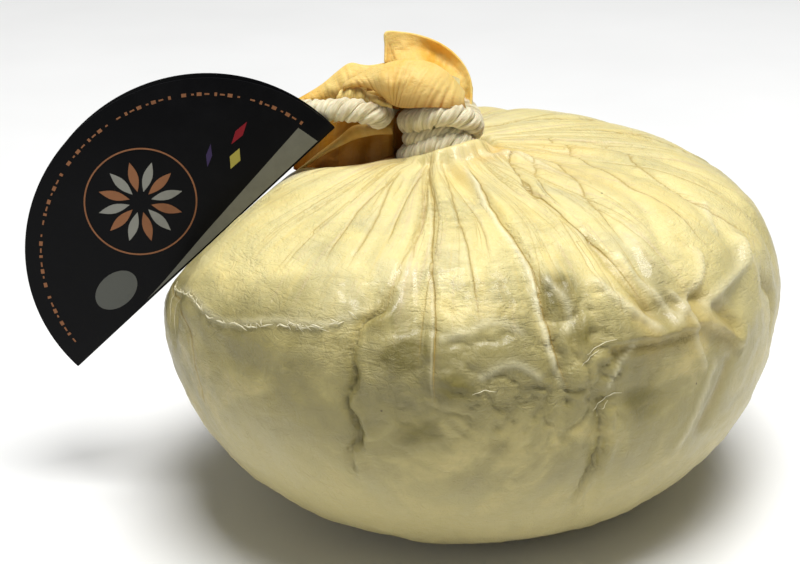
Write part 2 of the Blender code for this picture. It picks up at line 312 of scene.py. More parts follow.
def buildBallSkin():
    made, nodes = newMaterial("burdufSkin")
    tones = skinFinish
    crinkle = nodes.attribute("crinkle")
    grain = nodes.grain(crinkle, nodes.ramp(crinkle, *tones["crumple"]))
    cloud, streak = grain["Cloud"], grain["Streak"]
    place = nodes.place()
    # painted shade: the middle band, dark places, cracks, bottom and the skin behind the cord are darkened;
    # the pale and butter clouds lie only outside this shade
    low = nodes.maths("ADD", nodes.attribute("low"), nodes.ramp(cloud, *tones["lowShadeCloud"]), clamp=True)
    underShade = nodes.attribute("underShade")
    paintedShadeShare = nodes.maths("MAXIMUM", nodes.times(low, tones["shadeHides"]), underShade)
    outOfShade = nodes.maths("SUBTRACT", 1.0, paintedShadeShare, clamp=True)
    pleated = nodes.attribute("pleated")
    color = nodes.layers(
        tones["cream"], (low, tones["lowShadeAndOlive"]), (underShade, tones["underShadeTone"]),
        (nodes.times(nodes.ramp(cloud, *tones["paleCloud"]), outOfShade), tones["paleAndHighlight"]),
        (nodes.times(nodes.ramp(cloud, *tones["butterCloud"]), outOfShade), tones["butter"]),
        (nodes.attribute("warm"), tones["warm"]),
        (nodes.times(nodes.ramp(streak, *tones["butterStreak"]), pleated), tones["butter"]),
        (nodes.times(nodes.ramp(streak, *tones["blushStreak"]), pleated), tones["blush"]),
        # painted shade under shelves, in valleys and in creases, and painted highlight on ridges
        (nodes.attribute("oliveFoldShade"), tones["oliveShade"]), (nodes.attribute("crease"), tones["creaseShadeAmber"]),
        (nodes.attribute("ridge"), tones["paleAndHighlight"]))
    # fine lines: a dark core of painted shade with a pale edge of painted highlight beside it, a little
    # shaken
    shake = nodes.ramp(nodes.noise(place, *tones["shake"]), *tones["shakeReach"])
    away = nodes.maths("ADD", nodes.attribute("lineAway"), shake)
    dark = nodes.attribute("lineDark")
    line = nodes.bell(away, *tones["line"], dark)
    edge = nodes.bell(away, *tones["edge"], dark)
    dots = nodes.add("TexVoronoi", {"Vector": place, "Scale": tones["dotScale"], "Randomness": 1.0})
    chance = nodes.add("SeparateColor", {0: dots.outputs["Color"]}).outputs[0]
    dot = nodes.times(nodes.ramp(dots.outputs["Distance"], *tones["dotSize"]),
                      nodes.ramp(chance, *tones["dotRare"]))
    color = nodes.layers(
        color, (nodes.maths("MULTIPLY", line, tones["lineShadeShare"], clamp=True), tones["creaseShadeAmber"]),
        (nodes.times(edge, tones["edgeHighlightShare"]), tones["paleAndHighlight"]), (dot, tones["speck"]),
        (nodes.attribute("neckShade"), tones["neckShade"]))
    rough = nodes.maths("ADD", nodes.ramp(cloud, *tones["roughCloud"]),
                        nodes.ramp(streak, *tones["roughStreak"]))
    height = nodes.total((grain["Height"], tones["bumpMm"]), (line, tones["lineHeight"]),
                         (edge, tones["edgeHeight"]))
    return setShader(made, IOR=1.4, Coat_Weight=nodes.ramp(cloud, *tones["coatCloud"]), Coat_Roughness=0.12,
                     Subsurface_Weight=0.12, Subsurface_Scale=0.0015, Subsurface_Radius=(1.0, 0.75, 0.4),
                     Base_Color=color, Roughness=rough, Normal=nodes.bump(height, mm))


tailFinish = {
    "gold": (0.82, 0.44, 0.05), "straw": (0.88, 0.66, 0.24), "shadeBrown": (0.30, 0.095, 0.0005), "bumpMm": 0.45,
    "crinkle": 0.5, "crumple": 0.7, "strawCloud": (0.36, 0.62), "strawStreak": (0.50, 0.66, 0.0, 0.5),
    "goldStreak": (0.44, 0.32, 0.0, 0.6), "roughCloud": (0.3, 0.7, 0.32, 0.5)}


def buildTailSkin():
    made, nodes = newMaterial("driedMembrane")
    tones = tailFinish
    grain = nodes.grain(tones["crinkle"], tones["crumple"])
    cloud, streak = grain["Cloud"], grain["Streak"]
    color = nodes.layers(
        tones["gold"], (nodes.ramp(cloud, *tones["strawCloud"]), tones["straw"]),
        (nodes.ramp(streak, *tones["strawStreak"]), tones["straw"]),
        (nodes.ramp(streak, *tones["goldStreak"]), tones["gold"]),
        (nodes.attribute("straw"), tones["straw"]), (nodes.attribute("shade"), tones["shadeBrown"]))
    return setShader(made, Specular_IOR_Level=0.22, Subsurface_Weight=0.15, Subsurface_Scale=0.002,
                     Subsurface_Radius=(1.0, 0.55, 0.2), Base_Color=color,
                     Roughness=nodes.ramp(cloud, *tones["roughCloud"]),
                     Normal=nodes.bump(grain["Height"], tones["bumpMm"] * mm))


shredFinish = {"light": (0.80, 0.76, 0.55), "dull": (0.60, 0.53, 0.30), "tone": (900.0, 3.0),
               "rough": (0.3, 0.7, 0.45, 0.7)}


def buildShredSkin():
    # dry, almost white fibres
    made, nodes = newMaterial("drySkinFibre")
    tone = nodes.noise(nodes.place(), *shredFinish["tone"])
    return setShader(made, Base_Color=nodes.layers(shredFinish["light"], (tone, shredFinish["dull"])),
                     Roughness=nodes.ramp(tone, *shredFinish["rough"]))


cottonFinish = {
    "light": (0.88, 0.80, 0.56), "dull": (0.44, 0.34, 0.15), "bumpMm": 0.42, "alongYarn": (1.0, 1.0, 0.10),
    "fibre": (2600.0, 4.0, 0.7, 0.5), "soil": (160.0, 4.0), "dullFibre": (0.55, 0.32, 0.0, 0.55),
    "dullSoil": (0.52, 0.30, 0.0, 0.5), "rough": (0.3, 0.7, 0.82, 0.96)}


def buildCotton():
    made, nodes = newMaterial("cottonYarn")
    tones = cottonFinish
    flow = nodes.stretch(nodes.attribute("flow", "Vector"), tones["alongYarn"])
    fibre = nodes.noise(flow, *tones["fibre"])
    soil = nodes.noise(nodes.place(), *tones["soil"])
    # the dull tone is the fibres' and soil's own colour, and painted shade in the grooves
    color = nodes.layers(tones["light"], (nodes.ramp(fibre, *tones["dullFibre"]), tones["dull"]),
                         (nodes.ramp(soil, *tones["dullSoil"]), tones["dull"]),
                         (nodes.attribute("grooveShade"), tones["dull"]))
    return setShader(made, Sheen_Weight=0.35, Sheen_Roughness=0.5, Subsurface_Weight=0.1,
                     Subsurface_Scale=0.0015, Base_Color=color, Roughness=nodes.ramp(soil, *tones["rough"]),
                     Normal=nodes.bump(fibre, tones["bumpMm"] * mm))


cardFinish = {"wear": (90.0, 6.0, 0.65), "fine": (1100.0, 3.0), "worn": (0.5, 0.8, 0.0, 0.6),
              "rougher": (-0.05, 0.12), "bump": (0.03 * mm, 0.25)}


def buildCard(name, tone, worn, roughness, metal=0.0):
    # printed and varnished card, with faint scuffs and a soft unevenness
    made, nodes = newMaterial(name)
    place = nodes.place()
    wear = nodes.noise(place, *cardFinish["wear"])
    rough = nodes.ramp(wear, 0.3, 0.7, *(roughness + more for more in cardFinish["rougher"]))
    return setShader(made, Metallic=metal, Coat_Weight=0.05, Coat_Roughness=0.2, Specular_IOR_Level=0.06,
                     Base_Color=nodes.layers(tone, (nodes.ramp(wear, *cardFinish["worn"]), worn)),
                     Roughness=rough,
                     Normal=nodes.bump(nodes.noise(place, *cardFinish["fine"]), *cardFinish["bump"]))


print("finishes")
membraneGrain = buildMembraneGrain()
ballSkin = buildBallSkin()
tailSkin = buildTailSkin()
shredSkin = buildShredSkin()
cotton = buildCotton()

# the ball in its skin, placed by the turn round the neck and the distance along the skin

ball = {
    "around": 430, "rings": 224, "frontDensity": 0.30, "neckRows": 5,
    "radius": 79.2, "widest": 58.7, "upperDepth": 34.3, "lowerDepth": 59.4,
    "upperFullness": 0.60, "lowerFullness": 0.684, "oval": 0.05, "ovalTurn": 42, "drift": 4.8,
    "shoulder": (-0.69, 0.26, 0.68), "shoulderReach": 90.3, "shoulderBlend": 3.0,
    "dimple": (-31, 9, 7.5, 13), "neck": (-6.8, 4.0, 4.8, 110), "neckPull": (12, 52),
    "collarReach": (11.3, 15.0), "collarFlat": 0.65, "hug": 3.35, "hugRadius": 8.2,
    "collarLift": (333, 36, 2.6), "pleats": 190, "pleatSeed": 7, "meanRadius": 79,
    "spacing": ((0, 0.55), (24, 0.72), (100, 0.80), (135, 1.5))}

# cross wrinkles and the patches they lie in: size across and along in mm, seed
ball["wrinkles"] = ((5.5, 1.7, 3.0), (16, 14, 9.0))

# height in mm, size in mm, octaves and seed of each noise that lies on the whole skin
ball["noises"] = {"lumps": (0.55, 17, 3, 21.0), "grainy": (0.2, 4.2, 3, 40.0), "curd": (0.95, 9.0, 3, 61.0),
                  "wander": (6, 13, 2, 77.0)}

# folds: direction at the neck and at the end in degrees, from and to in mm along the skin, depth, half width
ball["folds"] = (
    (252, 262, 4, 104, 1.1, 2.2), (274, 269, 6, 76, 0.9, 2.4), (275, 284, 8, 102, 1.5, 2.4),
    (298, 288, 6, 56, 1, 2.6), (322, 300, 10, 84, 1.5, 2.8), (346, 308, 16, 74, 1.2, 3),
    (356, 328, 22, 86, 1.4, 3.2), (10, 349, 30, 90, 1.4, 3.2), (246, 245, 4, 72, 1, 2.4),
    (240, 232, 10, 66, 0.7, 2.6), (230, 222, 14, 68, 0.6, 3), (34, 14, 12, 92, 1, 3.2),
    (56, 42, 10, 80, 1.2, 3), (80, 70, 10, 96, 1, 3.2), (100, 94, 10, 78, 1.3, 2.8),
    (122, 124, 12, 98, 1, 3.2), (150, 158, 14, 84, 1, 3))

# swells: direction, place along, half sizes across and along, height
ball["swells"] = (
    (309, 75, 10, 3.5, -2.4), (304, 83, 13, 3, 1.8), (299, 92, 13, 6, -1.5), (337, 72, 4, 7, 1.8),
    (328, 80, 7, 5, -2.2), (343, 86, 9, 8, -1.2), (226, 87, 22, 4, -0.9), (249, 88, 2.4, 17, -2.2),
    (290, 111, 2.4, 19, -1.7), (206, 84, 2.6, 9, -1.6), (201, 64, 4, 14, -0.9), (266, 86, 9, 6, 1),
    (12, 84, 14, 6, -2), (38, 92, 12, 8, 1.4), (72, 82, 14, 5, -1.8), (110, 90, 12, 9, 1.2),
    (146, 84, 12, 5, -1.6), (318, 11.5, 8, 4.5, 1.2), (285, 9.5, 6, 3, 0.8), (228, 9, 5, 3, -1))

# strokes: kind, half width and depth in mm, wobble in mm, then places as direction and distance along
ball["strokes"] = (
    ("crease", 0.55, 0.9, 0.03, ((257, 3), (259, 27), (259, 45), (261, 60), (262, 70), (262, 84), (262, 92))),
    ("crease", 0.5, 0.55, 0.15, ((272, 9), (267, 27), (266, 39), (268, 50), (269, 60), (270, 74))),
    ("ridgeCrease", 0.75, 0.8, 0.2, ((291, 10), (281, 28), (279, 40), (281, 51), (282, 60), (282, 69),
        (283, 81), (285, 91))),
    ("crease", 0.8, 0.8, 0.1, ((308, 12), (309, 20), (300, 30), (296, 37))),
    ("ridge", 1.1, 0.9, 0.1, ((310, 8.5), (322, 10), (334, 12), (332, 18), (322, 28))),
    ("crease", 0.6, 0.45, 0.1, ((345, 18), (319, 34), (311, 46), (308, 58))),
    ("crease", 0.75, 0.8, 0.1, ((351, 9), (323, 16), (302, 26), (299, 33), (298, 41), (298, 46), (299, 51),
        (301, 62), (302, 68), (305, 76))),
    ("crease", 0.55, 0.4, 0.1, ((339, 16.5), (317, 24), (304, 31), (300, 41))),
    ("crease", 0.6, 0.4, 0.1, ((17, 31), (7, 35), (355, 38), (350, 42), (346, 47), (343, 53), (342, 59),
        (343, 66), (349, 74))),
    ("crease", 0.6, 0.45, 0.1, ((28, 18.5), (20, 20.8), (8, 22.5), (358, 25.5), (348, 28.5), (340, 33),
        (336, 37), (333, 42), (332, 49), (330, 57), (328, 63), (329, 70))),
    ("crease", 0.5, 0.35, 0.2, ((238, 14), (241, 33), (243, 50), (243, 60))),
    ("crease", 0.5, 0.35, 0.2, ((240, 16), (235, 36), (237, 51), (238, 60))),
    ("crease", 0.55, 0.4, 0.2, ((255, 12), (248, 34), (249, 52))),
    ("crease", 0.5, 0.35, 0.2, ((258, 14), (255, 42), (256, 56))),
    ("crease", 0.6, 0.45, 0.3, ((36, 14), (30, 40), (22, 70), (20, 92))),
    ("crease", 0.6, 0.55, 0.3, ((62, 12), (52, 40), (44, 74))),
    ("crease", 0.6, 0.5, 0.3, ((84, 12), (74, 50), (70, 92))),
    ("crease", 0.6, 0.45, 0.3, ((104, 12), (98, 40), (94, 76))),
    ("crease", 0.6, 0.5, 0.3, ((124, 14), (124, 50), (126, 94))),
    ("crease", 0.6, 0.45, 0.3, ((152, 16), (156, 50), (158, 84))),
    ("step", 0.9, 0.6, 0.6, ((201, 79), (205, 80), (212, 78), (220, 80), (224, 80), (229, 78), (234, 76),
        (239, 75), (244, 74), (250, 69), (253, 64))),
    ("crease", 0.8, 0.5, 0.4, ((194, 81), (205, 82), (212, 85), (215, 94), (215, 108))),
    ("crack", 0.65, 1, 0.85, ((255, 63), (252.5, 68), (249, 73), (248, 79), (248.5, 86), (247.5, 92),
        (249, 99), (247, 106), (247.5, 116))),
    ("crack", 0.55, 0.85, 0.8, ((290, 92), (291, 100), (291, 106), (290, 112), (288, 117), (286, 126))),
    ("valley", 1.1, 1.3, 0.25, ((299, 50), (299, 60), (301, 69), (305, 78))),
    ("ridge", 1.3, 1.5, 0.25, ((293, 62), (298, 71), (302, 76), (305, 80))),
    ("ridge", 0.9, 0.9, 0.25, ((303, 56), (304, 65), (307, 73), (309, 79))),
    ("shelf", 1.5, 2.3, 0.35, ((291, 80), (298, 80), (303, 81), (309, 81), (314, 82))),
    ("shelf", 1.5, 1.4, 0.35, ((312, 80), (317, 83), (322, 87), (327, 93))),
    ("ridge", 0.5, 0.45, 0.25, ((299, 80), (296.5, 82), (294.3, 84.5), (292.8, 87.5), (291.5, 90.7))),
    ("ridge", 0.8, 1.3, 0.25, ((309, 70), (312, 76), (312, 84), (315, 94))),
    ("ridge", 1.1, 1.5, 0.25, ((306, 79), (313, 75), (322, 68), (324, 62))),
    ("ridge", 1.2, 1.7, 0.25, ((341, 66), (334, 74), (322, 76), (314, 80))),
    ("ridge", 0.8, 0.7, 0.2, ((345, 56), (340, 60), (334, 65))),
    ("valley", 2.4, 1.9, 0.3, ((313, 73), (319, 78), (325, 86), (327, 89))),
    ("valley", 2, 1.4, 0.4, ((340, 80), (346, 88), (343, 98))),
    ("step", 1, 0.55, 0.5, ((262, 76), (268, 74), (273, 72), (278, 76))),
    ("step", 0.9, 0.6, 0.5, ((269, 85), (273, 82), (276, 82), (280, 86))),
    ("crack", 0.8, 0.6, 0.7, ((289, 70), (286, 78), (288, 84))),
    ("step", 1, 0.6, 0.6, ((282, 60), (285, 66), (286, 71), (284, 76))),
    ("valley", 2.2, 1, 0.5, ((323, 92), (318, 104), (314, 112))),
    ("ridge", 0.9, 0.5, 0.4, ((318, 90), (313, 102), (309, 114))),
    ("step", 1.2, 0.7, 0.7, ((14, 86), (30, 80), (46, 84), (60, 78), (78, 84), (96, 80))),
    ("shelf", 1.6, 1.4, 0.5, ((104, 84), (118, 80), (132, 84), (146, 78))),
    ("crack", 0.7, 0.9, 0.8, ((92, 88), (90, 98), (93, 110), (91, 122))),
    ("crack", 0.6, 0.8, 0.8, ((168, 84), (172, 96), (170, 110), (174, 122))))

# painted shade over some olive colour (dark), and warmer colour (warm), in places: direction, place along,
# half sizes across and along, share
ball["dark"] = (
    (256, 79, 13, 8, 1), (252, 70, 8, 7, 0.9), (246, 76, 9, 6, 0.9), (265, 87, 12, 7, 1), (285, 68, 9, 8, 1),
    (288, 76, 9, 8, 1), (236, 52, 16, 11, 0.22), (214, 58, 14, 12, 0.22), (352, 36, 14, 14, 0.18),
    (291, 85, 7, 8, 0.9), (299, 96, 14, 9, 1), (259, 97, 14, 8, 1), (272, 101, 14, 7, 0.9),
    (8, 82, 16, 14, 0.45), (302, 84, 6, 3, 0.8), (290, 60, 4, 6, 0.6), (238, 84, 12, 5, 0.85),
    (60, 66, 14, 8, 0.7), (120, 68, 16, 8, 0.7), (180, 70, 14, 8, 0.6), (344, 96, 9, 16, 0.35),
    (257, 78, 9, 6, 1.3), (286, 66, 6, 5, 1.3))
ball["warm"] = (
    (313, 79, 9, 8, 0.22), (302, 74, 4, 10, 0.25), (322, 84, 6, 5, 0.2), (334, 10.5, 4, 3, 0.85),
    (347, 8.5, 4, 2.5, 0.8), (310, 10, 4, 3, 0.6), (280, 17, 3, 9, 0.3), (0, 22, 5, 8, 0.35),
    (330, 30, 6, 18, 0.25), (340, 18, 3, 9, 0.4))


def windLevel(angle, lower):
    # height of the cord's centre line in mm, on its upper or lower turn
    if lower:
        return (91.0 - 3.8 * np.sin(angle) + 0.4 * np.cos(angle)
                - 0.9 * np.cos(2 * angle) - 1.0 * np.sin(2 * angle))
    return (99.3 - 3.1 * np.sin(angle) - 0.8 * np.cos(angle)
            - 1.0 * np.cos(2 * angle) - 0.8 * np.sin(2 * angle))


def ballProfile():
    polar = np.linspace(0.004, pi, 1200)
    up = np.cos(polar) > 0
    radius = ball["radius"] * np.sin(polar) ** np.where(up, ball["upperFullness"], ball["lowerFullness"])
    height = ball["widest"] + np.where(up, ball["upperDepth"], ball["lowerDepth"]) * np.cos(polar)
    start = int(np.argmax(radius > ball["neck"][2]))
    radius = np.maximum(radius[start:], 0.0)
    height = height[start:]
    along = np.concatenate([[0.0], np.cumsum(np.hypot(np.diff(radius), np.diff(height)))])
    return along, radius, height


profileAlong, profileRadius, profileHeight = ballProfile()


def turnDegrees(degreesTurned):
    # the same turn, between -180 and 180
    return (degreesTurned + 180) % 360 - 180


def turnBetween(angle, middle):
    return np.radians(turnDegrees(np.degrees(angle) - middle))


def facing(angle, middle, width):
    # 1 at one direction in degrees, fading to the sides over a width in radians
    return bell(turnBetween(angle, middle), width)


def spot(angle, along, radius, middle, place, across, down):
    aside = turnBetween(angle, middle) * radius
    return np.exp(-(aside / across) ** 2 - ((along - place) / down) ** 2)


def spotField(spots, angle, along, radius):
    field = np.zeros_like(along)
    for *where, share in spots:
        field = np.maximum(field, share * spot(angle, along, radius, *where))
    return field


def baseFolds(angle, along, radius):
    total = np.zeros_like(along)
    for start, end, low, high, depth, width in ball["folds"]:
        share = np.clip((along - low) / (high - low), 0, 1)
        middle = start + turnDegrees(end - start) * share
        aside = turnBetween(angle, middle) * np.maximum(radius, 6.0)
        total -= depth * band(low - 6, low + 6, high - 20, high, along) * bell(aside, width)
    for *where, height in ball["swells"]:
        total += height * spot(angle, along, radius, *where)
    pleats = np.sin(23 * angle + 2 * np.sin(3 * angle)) * 0.5 + np.sin(14 * angle + 1.1) * 0.3
    return total + pleats * band(2, 9, 22, 58, along) * np.clip(radius / 26, 0.2, 1)


def unwrapped(points):
    # directions that don't jump at the full turn
    line = [points[0]]
    for a, s in points[1:]:
        last = line[-1][0]
        line.append((last + turnDegrees(a - last), s))
    return line


def skinLine(points, count):
    return smoothLine([(a, s, 0) for a, s in points], count, 1.0)[:, :2]


def strokeReach(points, wobble, seed, angle, along, radius):
    # distance from a stroke in mm, the side it is on, and how far down the stroke
    line = skinLine(unwrapped(points), max(8, len(points) * 7))
    shake = np.array([noise.noise(Vector((k * 0.45, seed * 3.7, 0.0)))
                      + 0.6 * noise.noise(Vector((k * 1.3, seed * 5.1, 4.0))) for k in range(len(line))])
    line[:, 0] += np.degrees(shake * wobble / np.interp(line[:, 1], profileAlong, profileRadius))
    line[:, 1] += shake * wobble * 0.6
    best = np.full(along.shape, 1e3)
    side = np.zeros(along.shape)
    share = np.zeros(along.shape)
    for k, (a, b) in enumerate(zip(line, line[1:])):
        dx = turnBetween(angle, a[0]) * radius
        dy = along - a[1]
        ex = radians(b[0] - a[0]) * radius
        ey = b[1] - a[1]
        t = np.clip((dx * ex + dy * ey) / (ex * ex + ey * ey + 1e-9), 0, 1)
        away = np.hypot(dx - t * ex, dy - t * ey)
        near = away < best
        best = np.where(near, away, best)
        side = np.where(near, np.sign(ex * dy - ey * dx), side)
        share = np.where(near, (k + t) / (len(line) - 1), share)
    return best, side, share


def keepNearest(lines, window, away, strength):
    # the nearest fine line's signed distance and the strength of its painted shade and highlight
    held, dark = lines
    better = np.abs(away) / (0.15 + strength) < np.abs(held[window]) / (0.15 + dark[window])
    better &= strength > 0.02
    held[window] = np.where(better, away, held[window])
    dark[window] = np.where(better, strength, dark[window])


def strokeShape(kind, width, away, side, share, taper):
    # a stroke's height for a depth of 1, and the painted shade and painted highlight it gives to the finishes
    core = bell(away, width) * taper
    ahead = away * side
    if kind == "crease":
        return 0.28 * (bell(away, 3.2 * width) * taper) - core, {"crease": 0.30 * core}
    if kind == "ridgeCrease":
        shifted = bell(ahead - 1.5 * width, 0.9 * width) * taper * (away < 5 * width)
        return 0.75 * shifted - core, {"crease": 0.30 * core, "ridge": 0.75 * shifted}
    if kind == "crack":
        # a split with a raised lip on its right, and painted shade in the split and on its left
        lip = bell(-ahead - 2.0, 1.5) * taper
        slack = bell(-ahead + 2.6, 2.6) * taper
        split = core * (1 - 0.5 * smoothStep(0.75, 1.0, share))
        return 1.1 * lip - 0.35 * slack - 2.0 * split, {"shade": np.maximum(split, 0.5 * slack)}
    # a step, with a painted highlight along its raised edge
    if kind == "step":
        rise = (np.where(side < 0, np.exp(-away / 5.0), -0.4 * np.exp(-away / 3.0))
                * np.tanh(away / (0.5 * width)))
        return rise * taper, {"ridge": 0.35 * bell(ahead + width, width) * taper}
    # a shelf, with painted shade beneath its edge
    if kind == "shelf":
        above = np.where(side < 0, np.exp(-(away / 6.0) ** 1.5), 0.0)
        below = np.where(side >= 0, -0.55 * bell(away - 2.0, 3.0), 0.0)
        underShade = np.where(side >= 0, bell(away - 1.0, 2.2), 0.2 * core)
        return (above + below) * np.tanh(away / (0.4 * width)) * taper, {"oliveFoldShade": 0.6 * underShade * taper}
    # a ridge, with a painted highlight along its top
    if kind == "ridge":
        return (bell(away, width) * 0.7 + 0.3 * bell(away, 2.5 * width)) * taper, {"ridge": 0.45 * core}
    # a valley, with painted shade in it
    return -core, {"oliveFoldShade": 0.5 * core}


def strokeRelief(angle, along, radius, lines):
    relief = np.zeros_like(along)
    marks = {name: np.zeros_like(along) for name in ("crease", "ridge", "oliveFoldShade", "shade")}
    for seed, (kind, width, depth, wobble, points) in enumerate(ball["strokes"]):
        # only the skin within reach of the stroke, in mm
        turns, places = zip(*unwrapped(points))
        half = radians((max(turns) - min(turns)) / 2)
        window = (along > min(places) - 16) & (along < max(places) + 16)
        window &= np.abs(turnBetween(angle, (min(turns) + max(turns)) / 2)) * radius < half * radius + 18
        if not window.any():
            continue
        away, side, share = strokeReach(points, wobble, seed, angle[window], along[window], radius[window])
        taper = band(0, 0.12, 0.82, 1.0, share)
        if kind in ("crease", "ridgeCrease"):
            keepNearest(lines, window, away * side, taper * min(1.0, 0.25 + depth * 0.65))
        rise, gives = strokeShape(kind, width, away, side, share, taper)
        relief[window] += depth * rise
        for name, field in gives.items():
            marks[name][window] = np.maximum(marks[name][window], field)
    return relief, marks


def finePleats(angle, along, radius, lines):
    # many small pleats fanning out from the tie
    chance = np.random.default_rng(ball["pleatSeed"])
    relief = np.zeros_like(along)
    crease = np.zeros_like(along)
    near = along < 92
    a, s, r = angle[near], along[near], radius[near]
    for k in range(ball["pleats"]):
        end = chance.uniform(0, 360)
        reach = chance.uniform(22, 80) if k % 3 else chance.uniform(14, 34)
        low = chance.uniform(1, 8) if k % 4 else chance.uniform(14, 40)
        depth = chance.uniform(0.12, 0.42)
        width = chance.uniform(0.4, 0.95)
        bend = chance.uniform(-3, 3)
        # the pleats lean on the right and a little on the left
        lean = 42 * bell(end - 318, 26) - 14 * bell(end - 200, 30)
        middle = end + lean * np.exp(-s / 13) + bend * np.sin(s / 17 + end)
        aside = turnBetween(a, middle) * np.maximum(r, 5)
        high = max(reach, low + 12)
        fade = band(low, low + 8, high - 10, high + 4, s)
        core = bell(aside, width) * fade
        relief[near] += depth * (0.35 * bell(aside, 2.4 * width) * fade - core)
        # painted shade in the pleat's hollow
        crease[near] = np.maximum(crease[near], core * depth * 0.35)
        keepNearest(lines, near, aside, fade * (0.05 + 0.95 * depth))
    return relief, crease


def noiseField(points, scale, octaves, seed):
    return np.array([noise.fractal(Vector((x * scale + seed, y * scale, z * scale)), 0.9, 2.1, octaves)
                     for x, y, z in points])


def skinNoise(place, name):
    size, octaves, seed = ball["noises"][name][1:]
    return noiseField(place, 1 / size, octaves, seed)


def crossWrinkles(angle, along):
    # short folds lying across the pull of the skin, in patches, strongest in front where it is drawn tight
    fine, patch = [noiseField(aroundAxis(angle, ball["meanRadius"] / across, along / down), 1.0, 2, seed)
                   for across, down, seed in ball["wrinkles"]]
    strength = band(16, 34, 84, 104, along) * np.clip(0.45 + 0.9 * patch, 0, 1)
    front = 0.45 + 0.55 * facing(angle, 272, 0.5)
    return (0.35 - np.abs(fine)) * strength * front, strength * front


def ballPlaces(angle, along):
    radius = np.interp(along, profileAlong, profileRadius)
    height = np.interp(along, profileAlong, profileHeight)
    level = np.clip(height / (ball["widest"] + ball["upperDepth"]), 0, 1)
    onTop = (height > ball["widest"]) * 1.0
    pull = fadeOut(*ball["neckPull"], radius) * onTop
    oval = 1 + ball["oval"] * np.cos(2 * (angle - radians(ball["ovalTurn"]))) * (1 - pull)
    place = aroundAxis(angle, radius * oval, height)
    neckX, neckY = ball["neck"][:2]
    place[:, 0] += ball["drift"] * (1 - level) + neckX * pull
    place[:, 1] += neckY * pull
    # the collar of skin that the lowest turn of the cord lies on
    outside = np.maximum(radius, ball["hugRadius"]) - ball["hugRadius"]
    hug = np.sqrt(np.clip(ball["hug"] ** 2 - outside ** 2, 0, None))
    middle, half, rise = ball["collarLift"]
    collar = windLevel(angle, True) - hug + rise * facing(angle, middle, radians(half))
    collarShare = fadeOut(*ball["collarReach"], radius) * onTop
    place[:, 2] += (collar - place[:, 2]) * collarShare
    x, y, depth, reach = ball["dimple"]
    away = (place[:, 0] - x) ** 2 + (place[:, 1] - y) ** 2
    place[:, 2] -= depth * np.exp(-away / reach ** 2) * (1 - collarShare) * onTop
    # the shoulder that the label leans on is pressed flatter
    normal = np.array(Vector(ball["shoulder"]).normalized())
    over = place @ normal - ball["shoulderReach"]
    blend = ball["shoulderBlend"]
    press = np.where(over > 10 * blend, over, blend * np.log1p(np.exp(np.minimum(over / blend, 10))))
    place -= press[:, None] * normal
    slope = unitRows(aroundAxis(angle, 1.0, (height - ball["widest"]) / ball["upperDepth"]))

    lines = (np.full(along.shape, 4.0), np.zeros(along.shape))
    folds = baseFolds(angle, along, radius)
    relief, marks = strokeRelief(angle, along, radius, lines)
    pleatRelief, pleatShade = finePleats(angle, along, radius, lines)
    wrinkle, crinkle = crossWrinkles(angle, along)
    lumps = skinNoise(place, "lumps") * band(30, 70, 170, 215, along)
    grainy = skinNoise(place, "grainy") * (0.3 + 0.7 * smoothStep(40, 80, along)) * fadeOut(190, 220, along)
    curd = np.minimum(np.abs(skinNoise(place, "curd")), 0.22) / 0.22 - 1
    curdFacing = facing(angle, 276, 0.42) + 0.6 * facing(angle, 80, 0.6) + 0.5 * facing(angle, 289, 0.13)
    curdShare = band(58, 70, 92, 112, along) * curdFacing
    heights = {name: values[0] for name, values in ball["noises"].items()}
    push = (folds + relief + pleatRelief + 0.5 * wrinkle + heights["lumps"] * lumps
            + heights["grainy"] * grainy + heights["curd"] * curd * curdShare)
    place += slope * (push * (1 - ball["collarFlat"] * collarShare))[:, None]
    place[:, 2] = np.maximum(place[:, 2], 0.0)

    # what the finishes read: marks fade under the collar and on the flat spot
    flat = smoothStep(0.0, 0.6, place[:, 2])
    away, dark = lines
    wander = heights["wander"] * skinNoise(place, "wander") - 5 * facing(angle, 214, 0.25)
    # painted shade: darker from the middle of the ball down, less on the right side, darker still in the dark
    # places and beside the cracks; partly an olive colour too
    tone = 0.78 * smoothStep(57, 76, along + wander) * (1 - 0.6 * facing(angle, 345, 0.5))
    tone = np.maximum(tone, spotField(ball["dark"], angle, along + 0.5 * wander, radius))
    values = {
        # painted shade in the hollows of creases and pleats
        "crease": np.maximum(marks["crease"], pleatShade) * (1 - 0.5 * collarShare) * flat,
        # painted highlight on ridges; painted shade, olive, under shelves and in valleys
        "ridge": marks["ridge"], "oliveFoldShade": marks["oliveFoldShade"], "crinkle": 0.12 + 0.88 * crinkle,
        "lineDark": dark * (1 - 0.4 * collarShare) * flat * fadeOut(1.0, 2.2, np.abs(away)),
        "pleated": band(2, 8, 50, 84, along),
        # painted shade on the skin left of the neck, behind the cord
        "neckShade": np.exp(-(turnBetween(angle, 172) / 0.72) ** 4) * fadeOut(17, 25, along),
        "low": np.maximum(tone, marks["shade"]), "warm": spotField(ball["warm"], angle, along, radius),
        # painted shade: a darker, greyer tone towards the bottom, lighter than the band above it
        "underShade": smoothStep(100, 134, along + 14 * facing(angle, 230, 0.35))}
    values = {name: np.clip(field, 0, 1) for name, field in values.items()}
    values["lineAway"] = np.clip(away, -4, 4)
    return place, values


